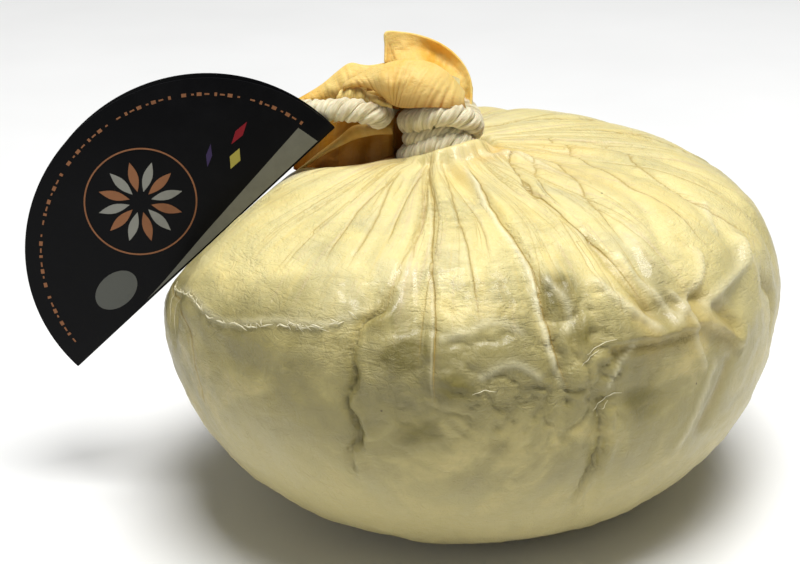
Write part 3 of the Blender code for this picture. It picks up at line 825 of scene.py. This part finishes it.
def makeBall():
    deselect()
    bpy.ops.mesh.primitive_uv_sphere_add(segments=ball["around"], ring_count=ball["rings"], radius=1.0)
    piece = bpy.context.object
    piece.name = "skinBall"
    mesh = piece.data
    mesh.name = "skinBall"
    start = readPlaces(mesh)
    turn = np.arctan2(start[:, 1], start[:, 0])
    # columns closer together in front, rows closer together near the tie
    angle = turn - ball["frontDensity"] * np.sin(turn - radians(270))
    row = np.rint(np.arccos(np.clip(start[:, 2], -1, 1)) / pi * ball["rings"]).astype(int)
    neckRows, skinRows = ball["neckRows"], ball["rings"] - ball["neckRows"]
    knots = list(ball["spacing"]) + [(profileAlong[-1], 1.9)]
    spacing = np.interp(profileAlong, *zip(*knots))
    count = np.concatenate([[0], np.cumsum(np.diff(profileAlong) / spacing[1:])])
    rowAlong = np.interp(np.linspace(0, count[-1], skinRows + 1), count, profileAlong)
    along = rowAlong[np.clip(row - neckRows, 0, skinRows)]
    place, values = ballPlaces(angle, along)
    # the first rows are the neck, a column inside the cord
    neckX, neckY, neckRadius, neckTop = ball["neck"]
    foot = windLevel(angle, True) - ball["hug"]
    drop = np.clip((row - 1) / (neckRows - 1), 0, 1)
    column = aroundAxis(angle, neckRadius, neckTop + (foot - neckTop) * drop, neckX, neckY)
    column[row == 0] = (neckX, neckY, neckTop)
    writePlaces(mesh, np.where((row >= neckRows)[:, None], place, column) * mm)
    addValues(mesh, "flow", aroundAxis(angle, ball["meanRadius"] * mm, along * mm))
    for name, field in values.items():
        addValues(mesh, name, field)
    mesh.shade_smooth()
    mesh.materials.append(ballSkin)
    return piece


print("ball")
skinBall = makeBall()
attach(skinBall, "root")
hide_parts("cheese")

# loose shreds: the torn edge to follow, how many stand on it, then single long fibres
shreds = {
    "edge": ((202, 78.6), (205, 79.6), (212, 77.8), (220, 79.6), (229, 78), (236, 75.5), (243, 74),
             (249, 70.5)),
    "edgePoints": 60, "count": 40, "radius": 0.085, "seed": 23,
    "fibres": (((289, 95), (291, 93), (293, 91.5), (295, 92)), ((290, 97), (291, 94.5), (292, 93)),
               ((288, 80.5), (290, 79.5), (292, 78.5), (294, 78.2)), ((287, 83), (289, 81), (291, 80)),
               ((268, 87), (270, 86), (272, 86.5)), ((203, 80), (203.5, 84), (204, 89)),
               ((205, 82), (205, 87), (206, 92)), ((238, 76), (241, 74.5), (244, 75)))}


def makeShred(points, lift, thickness):
    # a thin fibre that lies on the skin with its middle lifted
    line = skinLine(points, max(6, len(points) * 5))
    skin = ballPlaces(np.radians(line[:, 0]), line[:, 1])[0]
    centre = np.array([skin[:, 0].mean() * 0.2, skin[:, 1].mean() * 0.2, 50.0])
    outward = unitRows(skin - centre)
    t = np.linspace(0, 1, len(line))
    middle = skin + outward * (lift * np.sin(pi * t) ** 0.7 + 0.06)[:, None]
    beside = np.cross(unitRows(np.gradient(middle, axis=0)), outward)
    size = shreds["radius"] * thickness * (0.35 + 0.65 * np.sin(pi * np.clip(t, 0.02, 0.98)))
    rings = [[tuple((middle[k] + size[k] * (cos(a) * outward[k] + 1.7 * sin(a) * beside[k])) * mm)
              for a in (0, pi / 3, 2 * pi / 3, pi, 4 * pi / 3, 5 * pi / 3)] for k in range(len(line))]
    return meshPiece("shred", rings, shredSkin)


def makeShreds():
    chance = np.random.default_rng(shreds["seed"])
    edge = skinLine(shreds["edge"], shreds["edgePoints"])
    pieces = [makeShred(points, 0.35, 0.8) for points in shreds["fibres"]]
    for k in range(shreds["count"]):
        a, s = edge[chance.integers(0, shreds["edgePoints"] - 1)]
        lean = chance.uniform(-1.2, 1.2)
        reach = chance.uniform(0.8, 3.2)
        hook = chance.uniform(-1.0, 1.0)
        points = [(a, s + 0.3), (a + lean * 0.6, s - 0.16 * reach),
                  (a + lean * 1.3 + hook, s + reach * hook * 0.6)]
        pieces.append(makeShred(points, chance.uniform(0.2, 0.8), 1.0))
    # the torn edge itself, in short overlapping lengths
    for k in range(0, 56, 4):
        points = [tuple(edge[k + step] + chance.uniform(-0.35, 0.35, 2)) for step in range(4)]
        pieces.append(makeShred(points, 0.35, 1.5))
    return joinPieces(pieces, "membraneShreds")


print("shreds")
membraneShreds = makeShreds()
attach(membraneShreds, "root")
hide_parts("cheese")

# the leaves of membrane above the tie

tail = {"thickness": 0.7, "columns": 76, "crumple": 0.38, "crumpleSize": 3.2, "seed": 5, "fanPower": 1.9}

# leaves: rows, inner line, outer line, bulge, fan place, pleats, ripple and gather heights, share of painted
# shade in brown inside and outside, straw share at both ends
tail["leaves"] = {
    "hood": (28, ((-19.6, 4, 109), (-16.6, 3.5, 111.2), (-13.1, 3, 111.9), (-9.1, 3.5, 110.7),
            (-5.8, 4, 107.9), (-3.9, 5, 105), (-2.4, 6, 102.1)),
        ((-20.9, 9, 113.3), (-20.9, 11, 117.2), (-20.9, 12, 120.4), (-16.8, 12.5, 120.3), (-12.5, 13, 119.4),
         (-7.4, 13, 117.4), (-3.3, 12.5, 114.7), (-0.5, 11.5, 111.6), (1, 10, 108.3), (1.2, 8.5, 105),
         (1, 7, 101.8)),
        (0.6, 4.2, -1), 0, 4, 3.4, 0.22, 0.3, 0, (0.45, -0.3)),
    "pouch": (25, ((-31.4, 3, 107.4), (-29.1, 1.5, 108.9), (-25.6, 0, 109.4), (-22.1, -1.5, 108.2),
            (-18.8, -3, 105.6), (-15.9, -5, 105.4), (-12.2, -6.6, 106), (-7.7, -6.4, 105.9),
            (-3.7, -4.4, 105), (-0.6, -0.5, 104)),
        ((-31, 4, 109), (-28.6, 3, 110.8), (-24.6, 1.5, 113.3), (-20.3, 0, 115.5), (-16.6, -1, 116.6),
         (-12.6, -1, 116.6), (-8.6, 0.2, 115.3), (-5.3, 0.9, 112.9), (-3, 1.8, 110.2), (-0.8, 3.2, 107)),
        (-0.6, -3.2, 1), 0.42, 6, 2, 0.55, 0.6, 0.05, (-0.4, 0.9)),
    "crest": (12, ((-20.3, 0.2, 115.2), (-16.6, -0.8, 116.3), (-12.6, -0.8, 116.3), (-9.6, 0.6, 115),
            (-7.5, 2, 112.8)),
        ((-19.8, 7, 110.5), (-16.6, 8, 111), (-12.6, 8.5, 110.5), (-9.6, 7.5, 109.5), (-8, 6.5, 108.5)),
        (0, 0.2, 0.9), 0, 3, 1, 0.3, 0, 0.5, (0, 0.2)),
    "lobe": (14, ((-41.7, 6, 102.8), (-37.4, 6, 103.1), (-32.8, 6, 103.7), (-28.3, 6, 104.2),
            (-23.7, 6, 104.7), (-17.6, 6, 105.2)),
        ((-43.2, 7, 103.9), (-39.4, 7, 106.3), (-36.1, 7.5, 108.5), (-33.1, 8, 111), (-29.8, 8.5, 113.2),
         (-26.5, 8.5, 112.7), (-23.2, 8.5, 112.7), (-18.6, 8.5, 113.4)),
        (0, -1.6, 0.6), 0, 4, 1.6, 0.3, 0.25, 0, (0, 0.45)),
    # the cavity is a sheet painted almost wholly in the shade brown, painted shade filling the hollow under
    # the arch; the wall darkens to the brown towards its foot
    "cavity": (8, ((-33.3, 5.2, 103.4), (-28.5, 4.8, 103.1), (-23.4, 4.4, 102.7), (-17.1, 4, 102.3)),
        ((-31.5, 6, 107.9), (-28.2, 5.5, 109.6), (-23.4, 5, 110.2), (-17.6, 4.5, 109.9)),
        (0, 0.8, 0), 0, 3, 0.6, 0.2, 0.95, 0.95, (0, 0)),
    "crumpleA": (8, ((-33.4, 2, 105), (-30.8, 1.3, 104.9), (-28.2, 0.8, 104.9), (-25.4, 0.8, 104.9)),
        ((-32, 4, 107.2), (-29.9, 3.3, 108.5), (-27.7, 2.8, 108.6), (-25.7, 2.4, 107.5)),
        (0, -1.6, 0.8), 0, 5, 2.4, 0.45, 0.15, 0, (1, 1)),
    "crumpleB": (8, ((-26.4, 0.8, 104.7), (-23.6, -0.2, 104.6), (-21.1, -1.2, 104.7), (-19, -1.8, 104.4)),
        ((-26, 3, 106.9), (-23.6, 2, 106.5), (-21.6, 1, 105.7), (-19.3, 0, 104.9)),
        (0, -1.4, 0.8), 0, 4, 1.8, 0.4, 0.15, 0.1, (1, 0.8)),
    "hem": (7, ((-43.6, 4.6, 85.5), (-38.1, 4.2, 90.2), (-32.9, 4, 94.5), (-28.8, 4, 97.9), (-24.2, 4, 98.2),
            (-19.3, 4, 98)),
        ((-42.6, 2.2, 86.8), (-36.1, 1.2, 91.4), (-31, 0.6, 94.2), (-27.7, 0.6, 95.6), (-23.2, 1.2, 96.4),
         (-18.9, 2.4, 96.2)),
        (0, -0.9, 0.5), 0, 3, 0.5, 0.16, 0, 0.3, (0.2, 0.35)),
    "wall": (22, ((-40.4, 7, 103.2), (-36, 7, 105.2), (-29, 6.5, 106.6), (-23.5, 5, 107), (-19.4, 5, 107.2),
            (-18.4, 9, 106.5), (-13.5, 13.5, 105)),
        ((-44.6, 4.5, 86.2), (-40.5, 4.9, 84.6), (-36.6, 3.5, 85.4), (-33, 5.4, 83.6), (-29, 4, 84),
         (-26, 5.8, 82.6), (-22.6, 4, 83.2), (-19.4, 4.5, 83.2), (-18.4, 9, 83), (-13, 13.5, 84)),
        (0, 1.2, 0), 0, 3, 2.2, 0.3, 0.05, 1, (0, 0)),
    "backLow": (14, ((-15.5, 6.5, 99.5), (-13.5, 10, 100), (-9.5, 12.2, 100.4), (-5, 12.4, 100.6),
            (-1, 10.6, 100.8), (1.2, 7, 101)),
        ((-20.6, 9.2, 111.5), (-17, 13.2, 113.5), (-11.5, 14.3, 114.6), (-5.5, 14.2, 113.6),
         (-1, 12.6, 110.4), (1.4, 9.6, 106.5)),
        (0, 1.6, -0.6), 0.5, 5, 1.4, 0.42, 0.35, 0, (0.3, 0.3)),
    "backLeft": (14, ((-33.5, 7.4, 103.2), (-28, 8.6, 102.6), (-22, 9, 101.8), (-15.5, 8.4, 100.6)),
        ((-34.5, 8.2, 109.4), (-29.6, 9.4, 112.4), (-24.5, 10.2, 112.2), (-19.8, 11.4, 112.8)),
        (0, 1.8, -0.4), 0, 5, 1.6, 0.42, 0.35, 0, (0.2, 0.3))}


def makeLeaf(name, rows, inner, outer, bulge, fan, pleats, rippleHeight, gather, shadeIn, shadeOut, straw):
    columns = tail["columns"]
    steps = np.linspace(0, 1, columns)
    u = steps[None, :, None]
    v = np.linspace(0, 1, rows)[:, None, None]
    start = smoothLine(inner, columns)
    if fan:
        # the pleats of this leaf spread from one place on its inner line
        away = steps - fan
        reach = np.where(away > 0, 1 - fan, fan)
        share = fan + np.sign(away) * reach * (np.abs(away) / reach) ** tail["fanPower"]
        start = np.stack([np.interp(share, steps, start[:, i]) for i in range(3)], axis=1)
    end = smoothLine(outer, columns)
    push = np.array(bulge) * mm
    direction = push / np.linalg.norm(push)
    sheet = start[None] * (1 - v) + end[None] * v + push * np.sin(pi * v) * (0.4 + 0.6 * np.sin(pi * u))
    sheet = sheet + direction * np.sin(pleats * pi * u + 1.3) * (1 - v) * v * rippleHeight * mm
    # narrow gathers that run from the inner line to the rim
    gathers = np.sin(u * pleats * 21 + 5 * np.sin(u * 9) + 3 * np.sin(u * 4.1 + v) + 1.2 * v)
    gathers = (gathers * (0.35 + 0.3 * np.sin(u * 17))
               + np.sin(u * pleats * 37 + 4 * np.sin(u * 6) + 2 * v) * 0.25)
    sheet = sheet + (direction * gathers * np.sin(pi * np.clip(v * 0.9 + 0.08, 0, 1))
                     * (1.15 - v) * gather * mm)
    crumple = noiseField(sheet.reshape(-1, 3) * 1000, 1 / tail["crumpleSize"], 3, tail["seed"] + len(name))
    crumple = crumple.reshape(rows, columns, 1) * np.sin(pi * np.clip(v, 0.04, 0.9))
    sheet = sheet + direction * crumple * tail["crumple"] * mm
    piece = meshPiece(name, list(sheet), tailSkin, closed=False)
    mesh = piece.data
    uu = np.tile(steps, rows)
    vv = np.repeat(np.linspace(0, 1, rows), columns)
    addValues(mesh, "flow", np.stack([uu * 0.035, np.zeros_like(uu), vv * 0.02], axis=1))
    # painted shade: brown towards the inner line or the rim as each leaf asks, and in the valleys of the
    # gathers
    valley = np.clip(-gathers.reshape(-1), 0, 1)
    shade = shadeIn * (1 - vv) ** 1.6 + shadeOut * vv + gather * valley * (1.1 - vv)
    addValues(mesh, "shade", np.clip(shade, 0, 1))
    addValues(mesh, "straw", np.clip(straw[0] + (straw[1] - straw[0]) * uu, 0, 1))
    applyModifier(piece, "thickness", "SOLIDIFY", thickness=tail["thickness"] * mm, offset=0.0,
                  use_even_offset=False)
    applyModifier(piece, "soft", "SUBSURF", levels=1, render_levels=1)
    piece.data.shade_smooth()
    return piece


print("tail")
skinTail = joinPieces([makeLeaf(name, *values) for name, values in tail["leaves"].items()], "skinTail")
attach(skinTail, "root")
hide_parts("cheese")

# the cotton cord, three twisted strands

cord = {
    "radius": 3.0, "strandRadius": 1.62, "strandOffset": 1.42, "pitch": 10.0, "yarns": 5, "yarnDepth": 0.12,
    "yarnPitch": 4.2, "sides": 24, "step": 0.55, "flowRadius": 0.0016, "gap": 0.4, "stepsPerTurn": 20,
    "windDegrees": 595, "dropDegrees": (225, 350), "tuckedScale": 0.78,
    "fuzz": 700, "fuzzRadius": 0.05, "fuzzSink": 0.35, "fuzzSeed": 11,
    "lead": ((-51.0, 0.9, 101.0), (-46.5, 0.3, 102.2), (-41.5, -0.3, 103.0), (-36.5, -0.8, 103.3),
             (-31.0, -1.8, 104.0), (-26.0, -2.2, 103.5), (-22.6, -1.0, 102.0)),
    "entry": ((180, 14.9, 101.2), (160, 14.6, 101.8), (140, 13.3, 103.0), (120, 11.2, 104.1),
              (100, 9.4, 104.4), (80, 8.6, 104.0), (60, 8.3, 102.8), (40, 8.2, 101.0), (20, 8.2, 98.9)),
    "tucked": ((150, 6.4, 94.0), (180, 7.4, 94.8), (205, 7.8, 95.6), (225, 7.6, 96.6), (245, 7.0, 97.6),
               (265, 6.6, 98.2), (285, 7.0, 98.0), (305, 7.2, 97.4), (325, 6.8, 96.6))}


def roundNeck(turn, radius, height):
    neckX, neckY = ball["neck"][:2]
    return (neckX + radius * cos(turn), neckY + radius * sin(turn), height)


def cordRoute():
    # from the label to the neck, then down round it by two turns
    windRadius = ball["neck"][2] + cord["gap"] + cord["radius"]
    points = list(cord["lead"])
    points += [roundNeck(radians(a), r, z) for a, r, z in cord["entry"]]
    low, high = map(radians, cord["dropDegrees"])
    angle = 0.0
    while angle > -radians(cord["windDegrees"]):
        drop = float(smoothStep(low, high, -angle))
        level = float(windLevel(angle, False)) * (1 - drop) + float(windLevel(angle, True)) * drop
        points.append(roundNeck(angle, windRadius, level))
        angle -= 2 * pi / cord["stepsPerTurn"]
    return points


def frameAlong(line):
    # directions along and across a line that don't twist about it
    tangents = unitRows(np.gradient(line, axis=0))
    normals = [np.cross(tangents[0], (0.0, 1.0, 0.0))]
    normals[0] /= np.linalg.norm(normals[0])
    for t in tangents[1:]:
        n = normals[-1] - t * (normals[-1] @ t)
        normals.append(n / np.linalg.norm(n))
    normals = np.array(normals)
    return tangents, normals, np.cross(tangents, normals)


def makeFuzz(name, points, count, seed):
    # loose fibres that stand off the cord
    chance = np.random.default_rng(seed)
    line = smoothLine(points, 400, 1.0)
    tangents, normals, sides = frameAlong(line)
    hairs = []
    for _ in range(count):
        spot = chance.integers(4, 395)
        turn = chance.uniform(0, 2 * pi)
        outward = cos(turn) * normals[spot] + sin(turn) * sides[spot]
        around = cos(turn) * sides[spot] - sin(turn) * normals[spot]
        lean = tangents[spot] * chance.uniform(-1, 1) + around * chance.uniform(-0.8, 0.8)
        lean /= np.linalg.norm(lean)
        length, lift = chance.uniform(0.9, 2.6), chance.uniform(0.1, 0.55)
        curl = chance.uniform(-0.5, 0.5)
        start = line[spot] + outward * (cord["radius"] - cord["fuzzSink"])
        rings = []
        for t in (0, 0.25, 0.5, 0.75, 1):
            centre = start + lean * length * t + outward * lift * sin(pi * t * 0.8) + around * curl * t * t
            size = cord["fuzzRadius"] * (1 - 0.6 * t)
            rings.append([tuple((centre + size * (cos(a) * outward + sin(a) * around)) * mm)
                          for a in (0, 2.09, 4.19)])
        hair = meshPiece(name, rings, cotton)
        corners = len(hair.data.vertices)
        addValues(hair.data, "flow", np.zeros((corners, 3)))
        addValues(hair.data, "grooveShade", np.zeros(corners))
        hairs.append(hair)
    return hairs


def makeStrands(name, points, scale=1.0):
    length = float(runLength(np.array(points))[-1])
    count = int(length / cord["step"])
    line = smoothLine(points, count, 1.0)
    normals, sides = frameAlong(line)[1:]
    reach = runLength(line)
    theta = np.linspace(0, 2 * pi, cord["sides"], endpoint=False)
    twist = 2 * pi * reach / cord["yarnPitch"]
    ridge = np.cos(cord["yarns"] * theta[None, :] + twist[:, None])
    # rounded ends
    ends = np.sqrt(np.clip(np.minimum(reach, reach[-1] - reach) / 0.9, 0.04, 1.0))
    allTheta = np.tile(theta, count)
    flow = aroundAxis(allTheta, cord["flowRadius"], np.repeat(reach * mm, cord["sides"]))
    # painted shade between the yarns and on the sides where the strands press together
    grooveShade = np.clip(-ridge.ravel() * 0.4, 0, 1) + np.clip(0.25 - np.cos(allTheta) * 0.9, 0, 1)
    strands = []
    for k in range(3):
        phase = 2 * pi * k / 3 - 2 * pi * reach / cord["pitch"]
        outward = np.cos(phase)[:, None] * normals + np.sin(phase)[:, None] * sides
        centre = line + outward * cord["strandOffset"] * scale
        run = unitRows(np.gradient(centre, axis=0))
        outward = unitRows(outward - run * (outward * run).sum(axis=1)[:, None])
        beside = np.cross(run, outward)
        swell = 1 + 0.05 * np.sin(reach * 1.9 + 2 * k) + 0.04 * np.sin(reach * 0.83 + k)
        size = cord["strandRadius"] * scale * swell[:, None] * (1 + cord["yarnDepth"] * ridge) * ends[:, None]
        rings = (centre[:, None, :] + outward[:, None, :] * (np.cos(theta)[None, :, None] * size[..., None])
                 + beside[:, None, :] * (np.sin(theta)[None, :, None] * size[..., None]))
        strand = meshPiece(name, list(rings * mm), cotton)
        addValues(strand.data, "flow", flow)
        addValues(strand.data, "grooveShade", np.clip(grooveShade, 0, 0.85))
        strands.append(strand)
    return strands


print("cord")
strands = makeStrands("strand", cordRoute())
strands += makeStrands("strand", [roundNeck(radians(a), r, z) for a, r, z in cord["tucked"]],
                       cord["tuckedScale"])
strands += makeFuzz("fibre", cordRoute(), cord["fuzz"], cord["fuzzSeed"])
cottonCord = joinPieces(strands, "cottonCord")
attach(cottonCord, "root")
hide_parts("tie_cord")

# the folded label, with its print in mm along and above the fold

label = {
    "radius": 47.0, "rise": 0.94, "thickness": 0.45, "centre": (-67.4, -6.0, 68.0), "slope": 43.8,
    "opening": 8.0, "foldRadius": 0.42, "hollow": 0.35, "rim": 0.09, "printLift": 0.035, "printDepth": 0.05,
    "cuts": (-34, -22, -11, -4, 4, 11, 22, 34), "ring": ((-2.0, 21.2), 14.6, 0.42),
    "rosette": ((-2.0, 21.2), 12, 11.2, 1.25), "oval": ((-24.0, 8.2), 6.4, 4.6),
    "dashes": (42.6, 62, 1.25, 0.42, (9, 171)),
    "band": ((41.6, 0.45), (40.6, 6.6), (4.1, 3.1), (-13.0, 1.1), (-20.0, 0.5), (10.0, 0.35)),
    "lozenges": ((23.5, 12.2, 3.0, 1.5, 24, "mustard"), (29.0, 16.4, 3.6, 1.1, 12, "brick"),
                 (19.4, 17.6, 3.2, 0.8, 38, "violet"))}

cardBlack = buildCard("cardBlack", (0.0025, 0.0025, 0.003), (0.006, 0.006, 0.007), 0.42)
printInks = {
    "copper": buildCard("inkCopper", (0.26, 0.115, 0.055), (0.14, 0.06, 0.03), 0.42, 0.4),
    # the pale band is printed darker and yellower: painted shade, with a painted reflection of the ball's
    # yellow
    "band": buildCard("inkBandShaded", (0.17, 0.17, 0.14), (0.10, 0.10, 0.085), 0.45),
    "silver": buildCard("inkSilver", (0.26, 0.26, 0.23), (0.16, 0.16, 0.14), 0.40),
    "stamp": buildCard("inkStamp", (0.105, 0.108, 0.095), (0.07, 0.07, 0.065), 0.40),
    "mustard": buildCard("inkMustard", (0.38, 0.33, 0.07), (0.22, 0.19, 0.04), 0.45),
    "brick": buildCard("inkBrick", (0.22, 0.012, 0.02), (0.12, 0.01, 0.012), 0.45),
    "violet": buildCard("inkViolet", (0.045, 0.03, 0.09), (0.03, 0.02, 0.05), 0.45)}


def labelMatrix():
    return (Matrix.Translation(Vector(label["centre"]) * mm)
            @ Matrix.Rotation(-radians(label["slope"]), 4, "Y"))


def hollowAt(u, v):
    # a slight hollow, as card that has been handled has
    return label["hollow"] * (u / label["radius"]) ** 2 * (v / label["radius"])


def makeCard():
    deselect()
    bpy.ops.mesh.primitive_circle_add(vertices=192, radius=label["radius"] * mm, fill_type="NGON",
                                      rotation=(radians(90), 0, 0))
    piece = bpy.context.object
    piece.name = "labelCard"
    piece.data.name = "labelCard"
    bpy.ops.object.transform_apply(location=True, rotation=True, scale=True)
    bpy.ops.object.mode_set(mode="EDIT")
    bend = label["foldRadius"]
    for cut in [bend * 1.6 * (k / 8 - 1) for k in range(17)] + list(label["cuts"]):
        bpy.ops.mesh.select_all(action="SELECT")
        bpy.ops.mesh.bisect(plane_co=(0, 0, cut * mm), plane_no=(0, 0, 1))
    bpy.ops.object.mode_set(mode="OBJECT")
    places = readPlaces(piece.data)
    across = places[:, 2] / mm * label["rise"]
    half = bend * pi / 2
    tilt = radians(label["opening"])
    # front sheet, then round the fold, then the back sheet
    front = across >= half
    back = across <= -half
    turn = np.clip((half - across) / (2 * half), 0, 1) * (pi - tilt)
    run = -across - half
    y = np.where(front, 0.0, bend - bend * np.cos(turn))
    y = np.where(back, bend + bend * cos(tilt) + run * sin(tilt), y)
    z = np.where(front, across - half, -bend * np.sin(turn))
    z = np.where(back, run * cos(tilt) - bend * sin(tilt), z)
    bow = hollowAt(places[:, 0] / mm, z + bend)
    places[:, 1] = (y + label["thickness"] / 2 + bow) * mm
    places[:, 2] = (z + bend) * mm
    writePlaces(piece.data, places)
    applyModifier(piece, "card", "SOLIDIFY", thickness=label["thickness"] * mm, offset=0.0)
    applyModifier(piece, "rim", "BEVEL", width=label["rim"] * mm, segments=2, limit_method="ANGLE",
                  angle_limit=radians(50))
    piece.data.transform(labelMatrix())
    pick(piece)
    bpy.ops.object.shade_smooth_by_angle(angle=radians(35))
    piece.data.materials.append(cardBlack)
    return piece


def printShape(name, outline, ink):
    # a thin printed patch that lies on the card's front
    bm = bmesh.new()
    verts = []
    for u, v in outline:
        v = v * label["rise"]
        verts.append(bm.verts.new((u * mm, (hollowAt(u, v) - label["printLift"]) * mm, v * mm)))
    made = bmesh.ops.extrude_face_region(bm, geom=[bm.faces.new(verts)])
    moved = [item for item in made["geom"] if isinstance(item, bmesh.types.BMVert)]
    bmesh.ops.translate(bm, verts=moved, vec=(0, label["printDepth"] * mm, 0))
    piece = newPiece(name, bm)
    piece.data.transform(labelMatrix())
    piece.data.materials.append(printInks[ink])
    return piece


def arcStrip(centre, radius, width, first, last, count):
    outline = []
    for side, steps in ((0.5, range(count + 1)), (-0.5, range(count, -1, -1))):
        for step in steps:
            turn = radians(first + (last - first) * step / count)
            reach = radius + side * width
            outline.append((centre[0] + reach * cos(turn), centre[1] + reach * sin(turn)))
    return outline


def turned(centre, turn, corners):
    c, s = cos(turn), sin(turn)
    return [(centre[0] + c * a - s * b, centre[1] + s * a + c * b) for a, b in corners]


def makePrint():
    patches = [printShape("band", label["band"], "band")]
    centre, radius, width = label["ring"]
    for start in range(0, 360, 45):
        patches.append(printShape("ring", arcStrip(centre, radius, width, start, start + 45, 12), "copper"))
    centre, petals, reach, width = label["rosette"]
    steps = [step / 8 for step in range(9)]
    petal = [(t, 1) for t in steps] + [(t, -1) for t in reversed(steps[1:-1])]
    petal = [(reach * (0.26 + 0.74 * t), width * sin(pi * t) * side) for t, side in petal]
    for k in range(petals):
        outline = turned(centre, 2 * pi * k / petals, petal)
        patches.append(printShape("petal", outline, "silver" if k % 2 else "copper"))
    (cx, cy), half, low = label["oval"]
    outline = [(cx + half * cos(2 * pi * k / 40), cy + low * sin(2 * pi * k / 40)) for k in range(40)]
    patches.append(printShape("oval", outline, "stamp"))
    # long and short, thick and thin dashes, with gaps
    reach, count, long, wide, (first, last) = label["dashes"]
    for k in range(count):
        if k % 9 == 8:
            continue
        turn = first + (last - first) * k / (count - 1)
        size = degrees(long * (1.0 if k % 3 else 0.55) / reach)
        outline = arcStrip((0, 0), reach, wide if k % 2 else wide * 2.2, turn, turn + size, 2)
        patches.append(printShape("dash", outline, "copper"))
    for u, v, long, wide, turn, ink in label["lozenges"]:
        corners = ((long, 0), (0, wide), (-long, 0), (0, -wide))
        patches.append(printShape("lozenge", turned((u, v), radians(turn), corners), ink))
    return joinPieces(patches, "labelPrint")


print("label")
labelCard = makeCard()
labelPrint = makePrint()
for piece in (labelCard, labelPrint):
    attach(piece, "root")
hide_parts("label")

# floor, light and camera

studio = {
    "target": (-0.0171, 0.0, 0.0568), "elevation": 22.0, "distance": 0.5, "lens": 86.5,
    "lamps": {"keyLight": ((0.10, -0.22, 1.5), 0.8, 31.0, (0, 0, 0.06)),
              "fillLight": ((-0.9, -1.1, 0.5), 0.7, 1.6, (0, 0, 0.05))},
    "sky": 0.12, "skyColor": (0.93, 0.96, 1.0, 1.0), "floorSize": 6.0, "floorRough": 0.75,
    "floor": (0.86, 0.86, 0.85), "floorLight": (0.90, 0.90, 0.89), "floorCloud": (9.0, 3.0)}


def aim(place, target):
    return (Vector(target) - Vector(place)).to_track_quat("-Z", "Y").to_euler()


def addLamp(name, place, size, power, target):
    deselect()
    bpy.ops.object.light_add(type="AREA", location=place)
    lamp = bpy.context.object
    lamp.name = name
    lamp.data.shape = "SQUARE"
    lamp.data.size = size
    lamp.data.energy = power
    lamp.rotation_euler = aim(place, target)


def makeStudio():
    deselect()
    bpy.ops.mesh.primitive_plane_add(size=studio["floorSize"], location=(0, 0, 0))
    floor = bpy.context.object
    floor.name = "floor"
    made, nodes = newMaterial("paleFloor")
    share = nodes.ramp(nodes.noise(nodes.place(), *studio["floorCloud"]), 0.3, 0.7)
    floor.data.materials.append(setShader(made, Roughness=studio["floorRough"], Base_Color=nodes.layers(
        studio["floor"], (share, studio["floorLight"]))))
    world = bpy.data.worlds.new("studioWorld")
    world.use_nodes = True
    sky = world.node_tree.nodes["Background"].inputs
    sky["Color"].default_value = studio["skyColor"]
    sky["Strength"].default_value = studio["sky"]
    bpy.context.scene.world = world
    for name, values in studio["lamps"].items():
        addLamp(name, *values)
    bpy.context.scene.view_settings.view_transform = "Standard"


def makeCamera():
    lift = radians(studio["elevation"])
    target = Vector(studio["target"])
    place = target + Vector((0, -cos(lift), sin(lift))) * studio["distance"]
    bpy.ops.object.camera_add(location=place)
    camera = bpy.context.object
    camera.name = "photoCamera"
    camera.data.lens = studio["lens"]
    camera.data.sensor_width = 36.0
    camera.data.clip_start = 0.01
    camera.rotation_euler = aim(place, target)
    bpy.context.scene.camera = camera


print("studio")
makeStudio()
makeCamera()
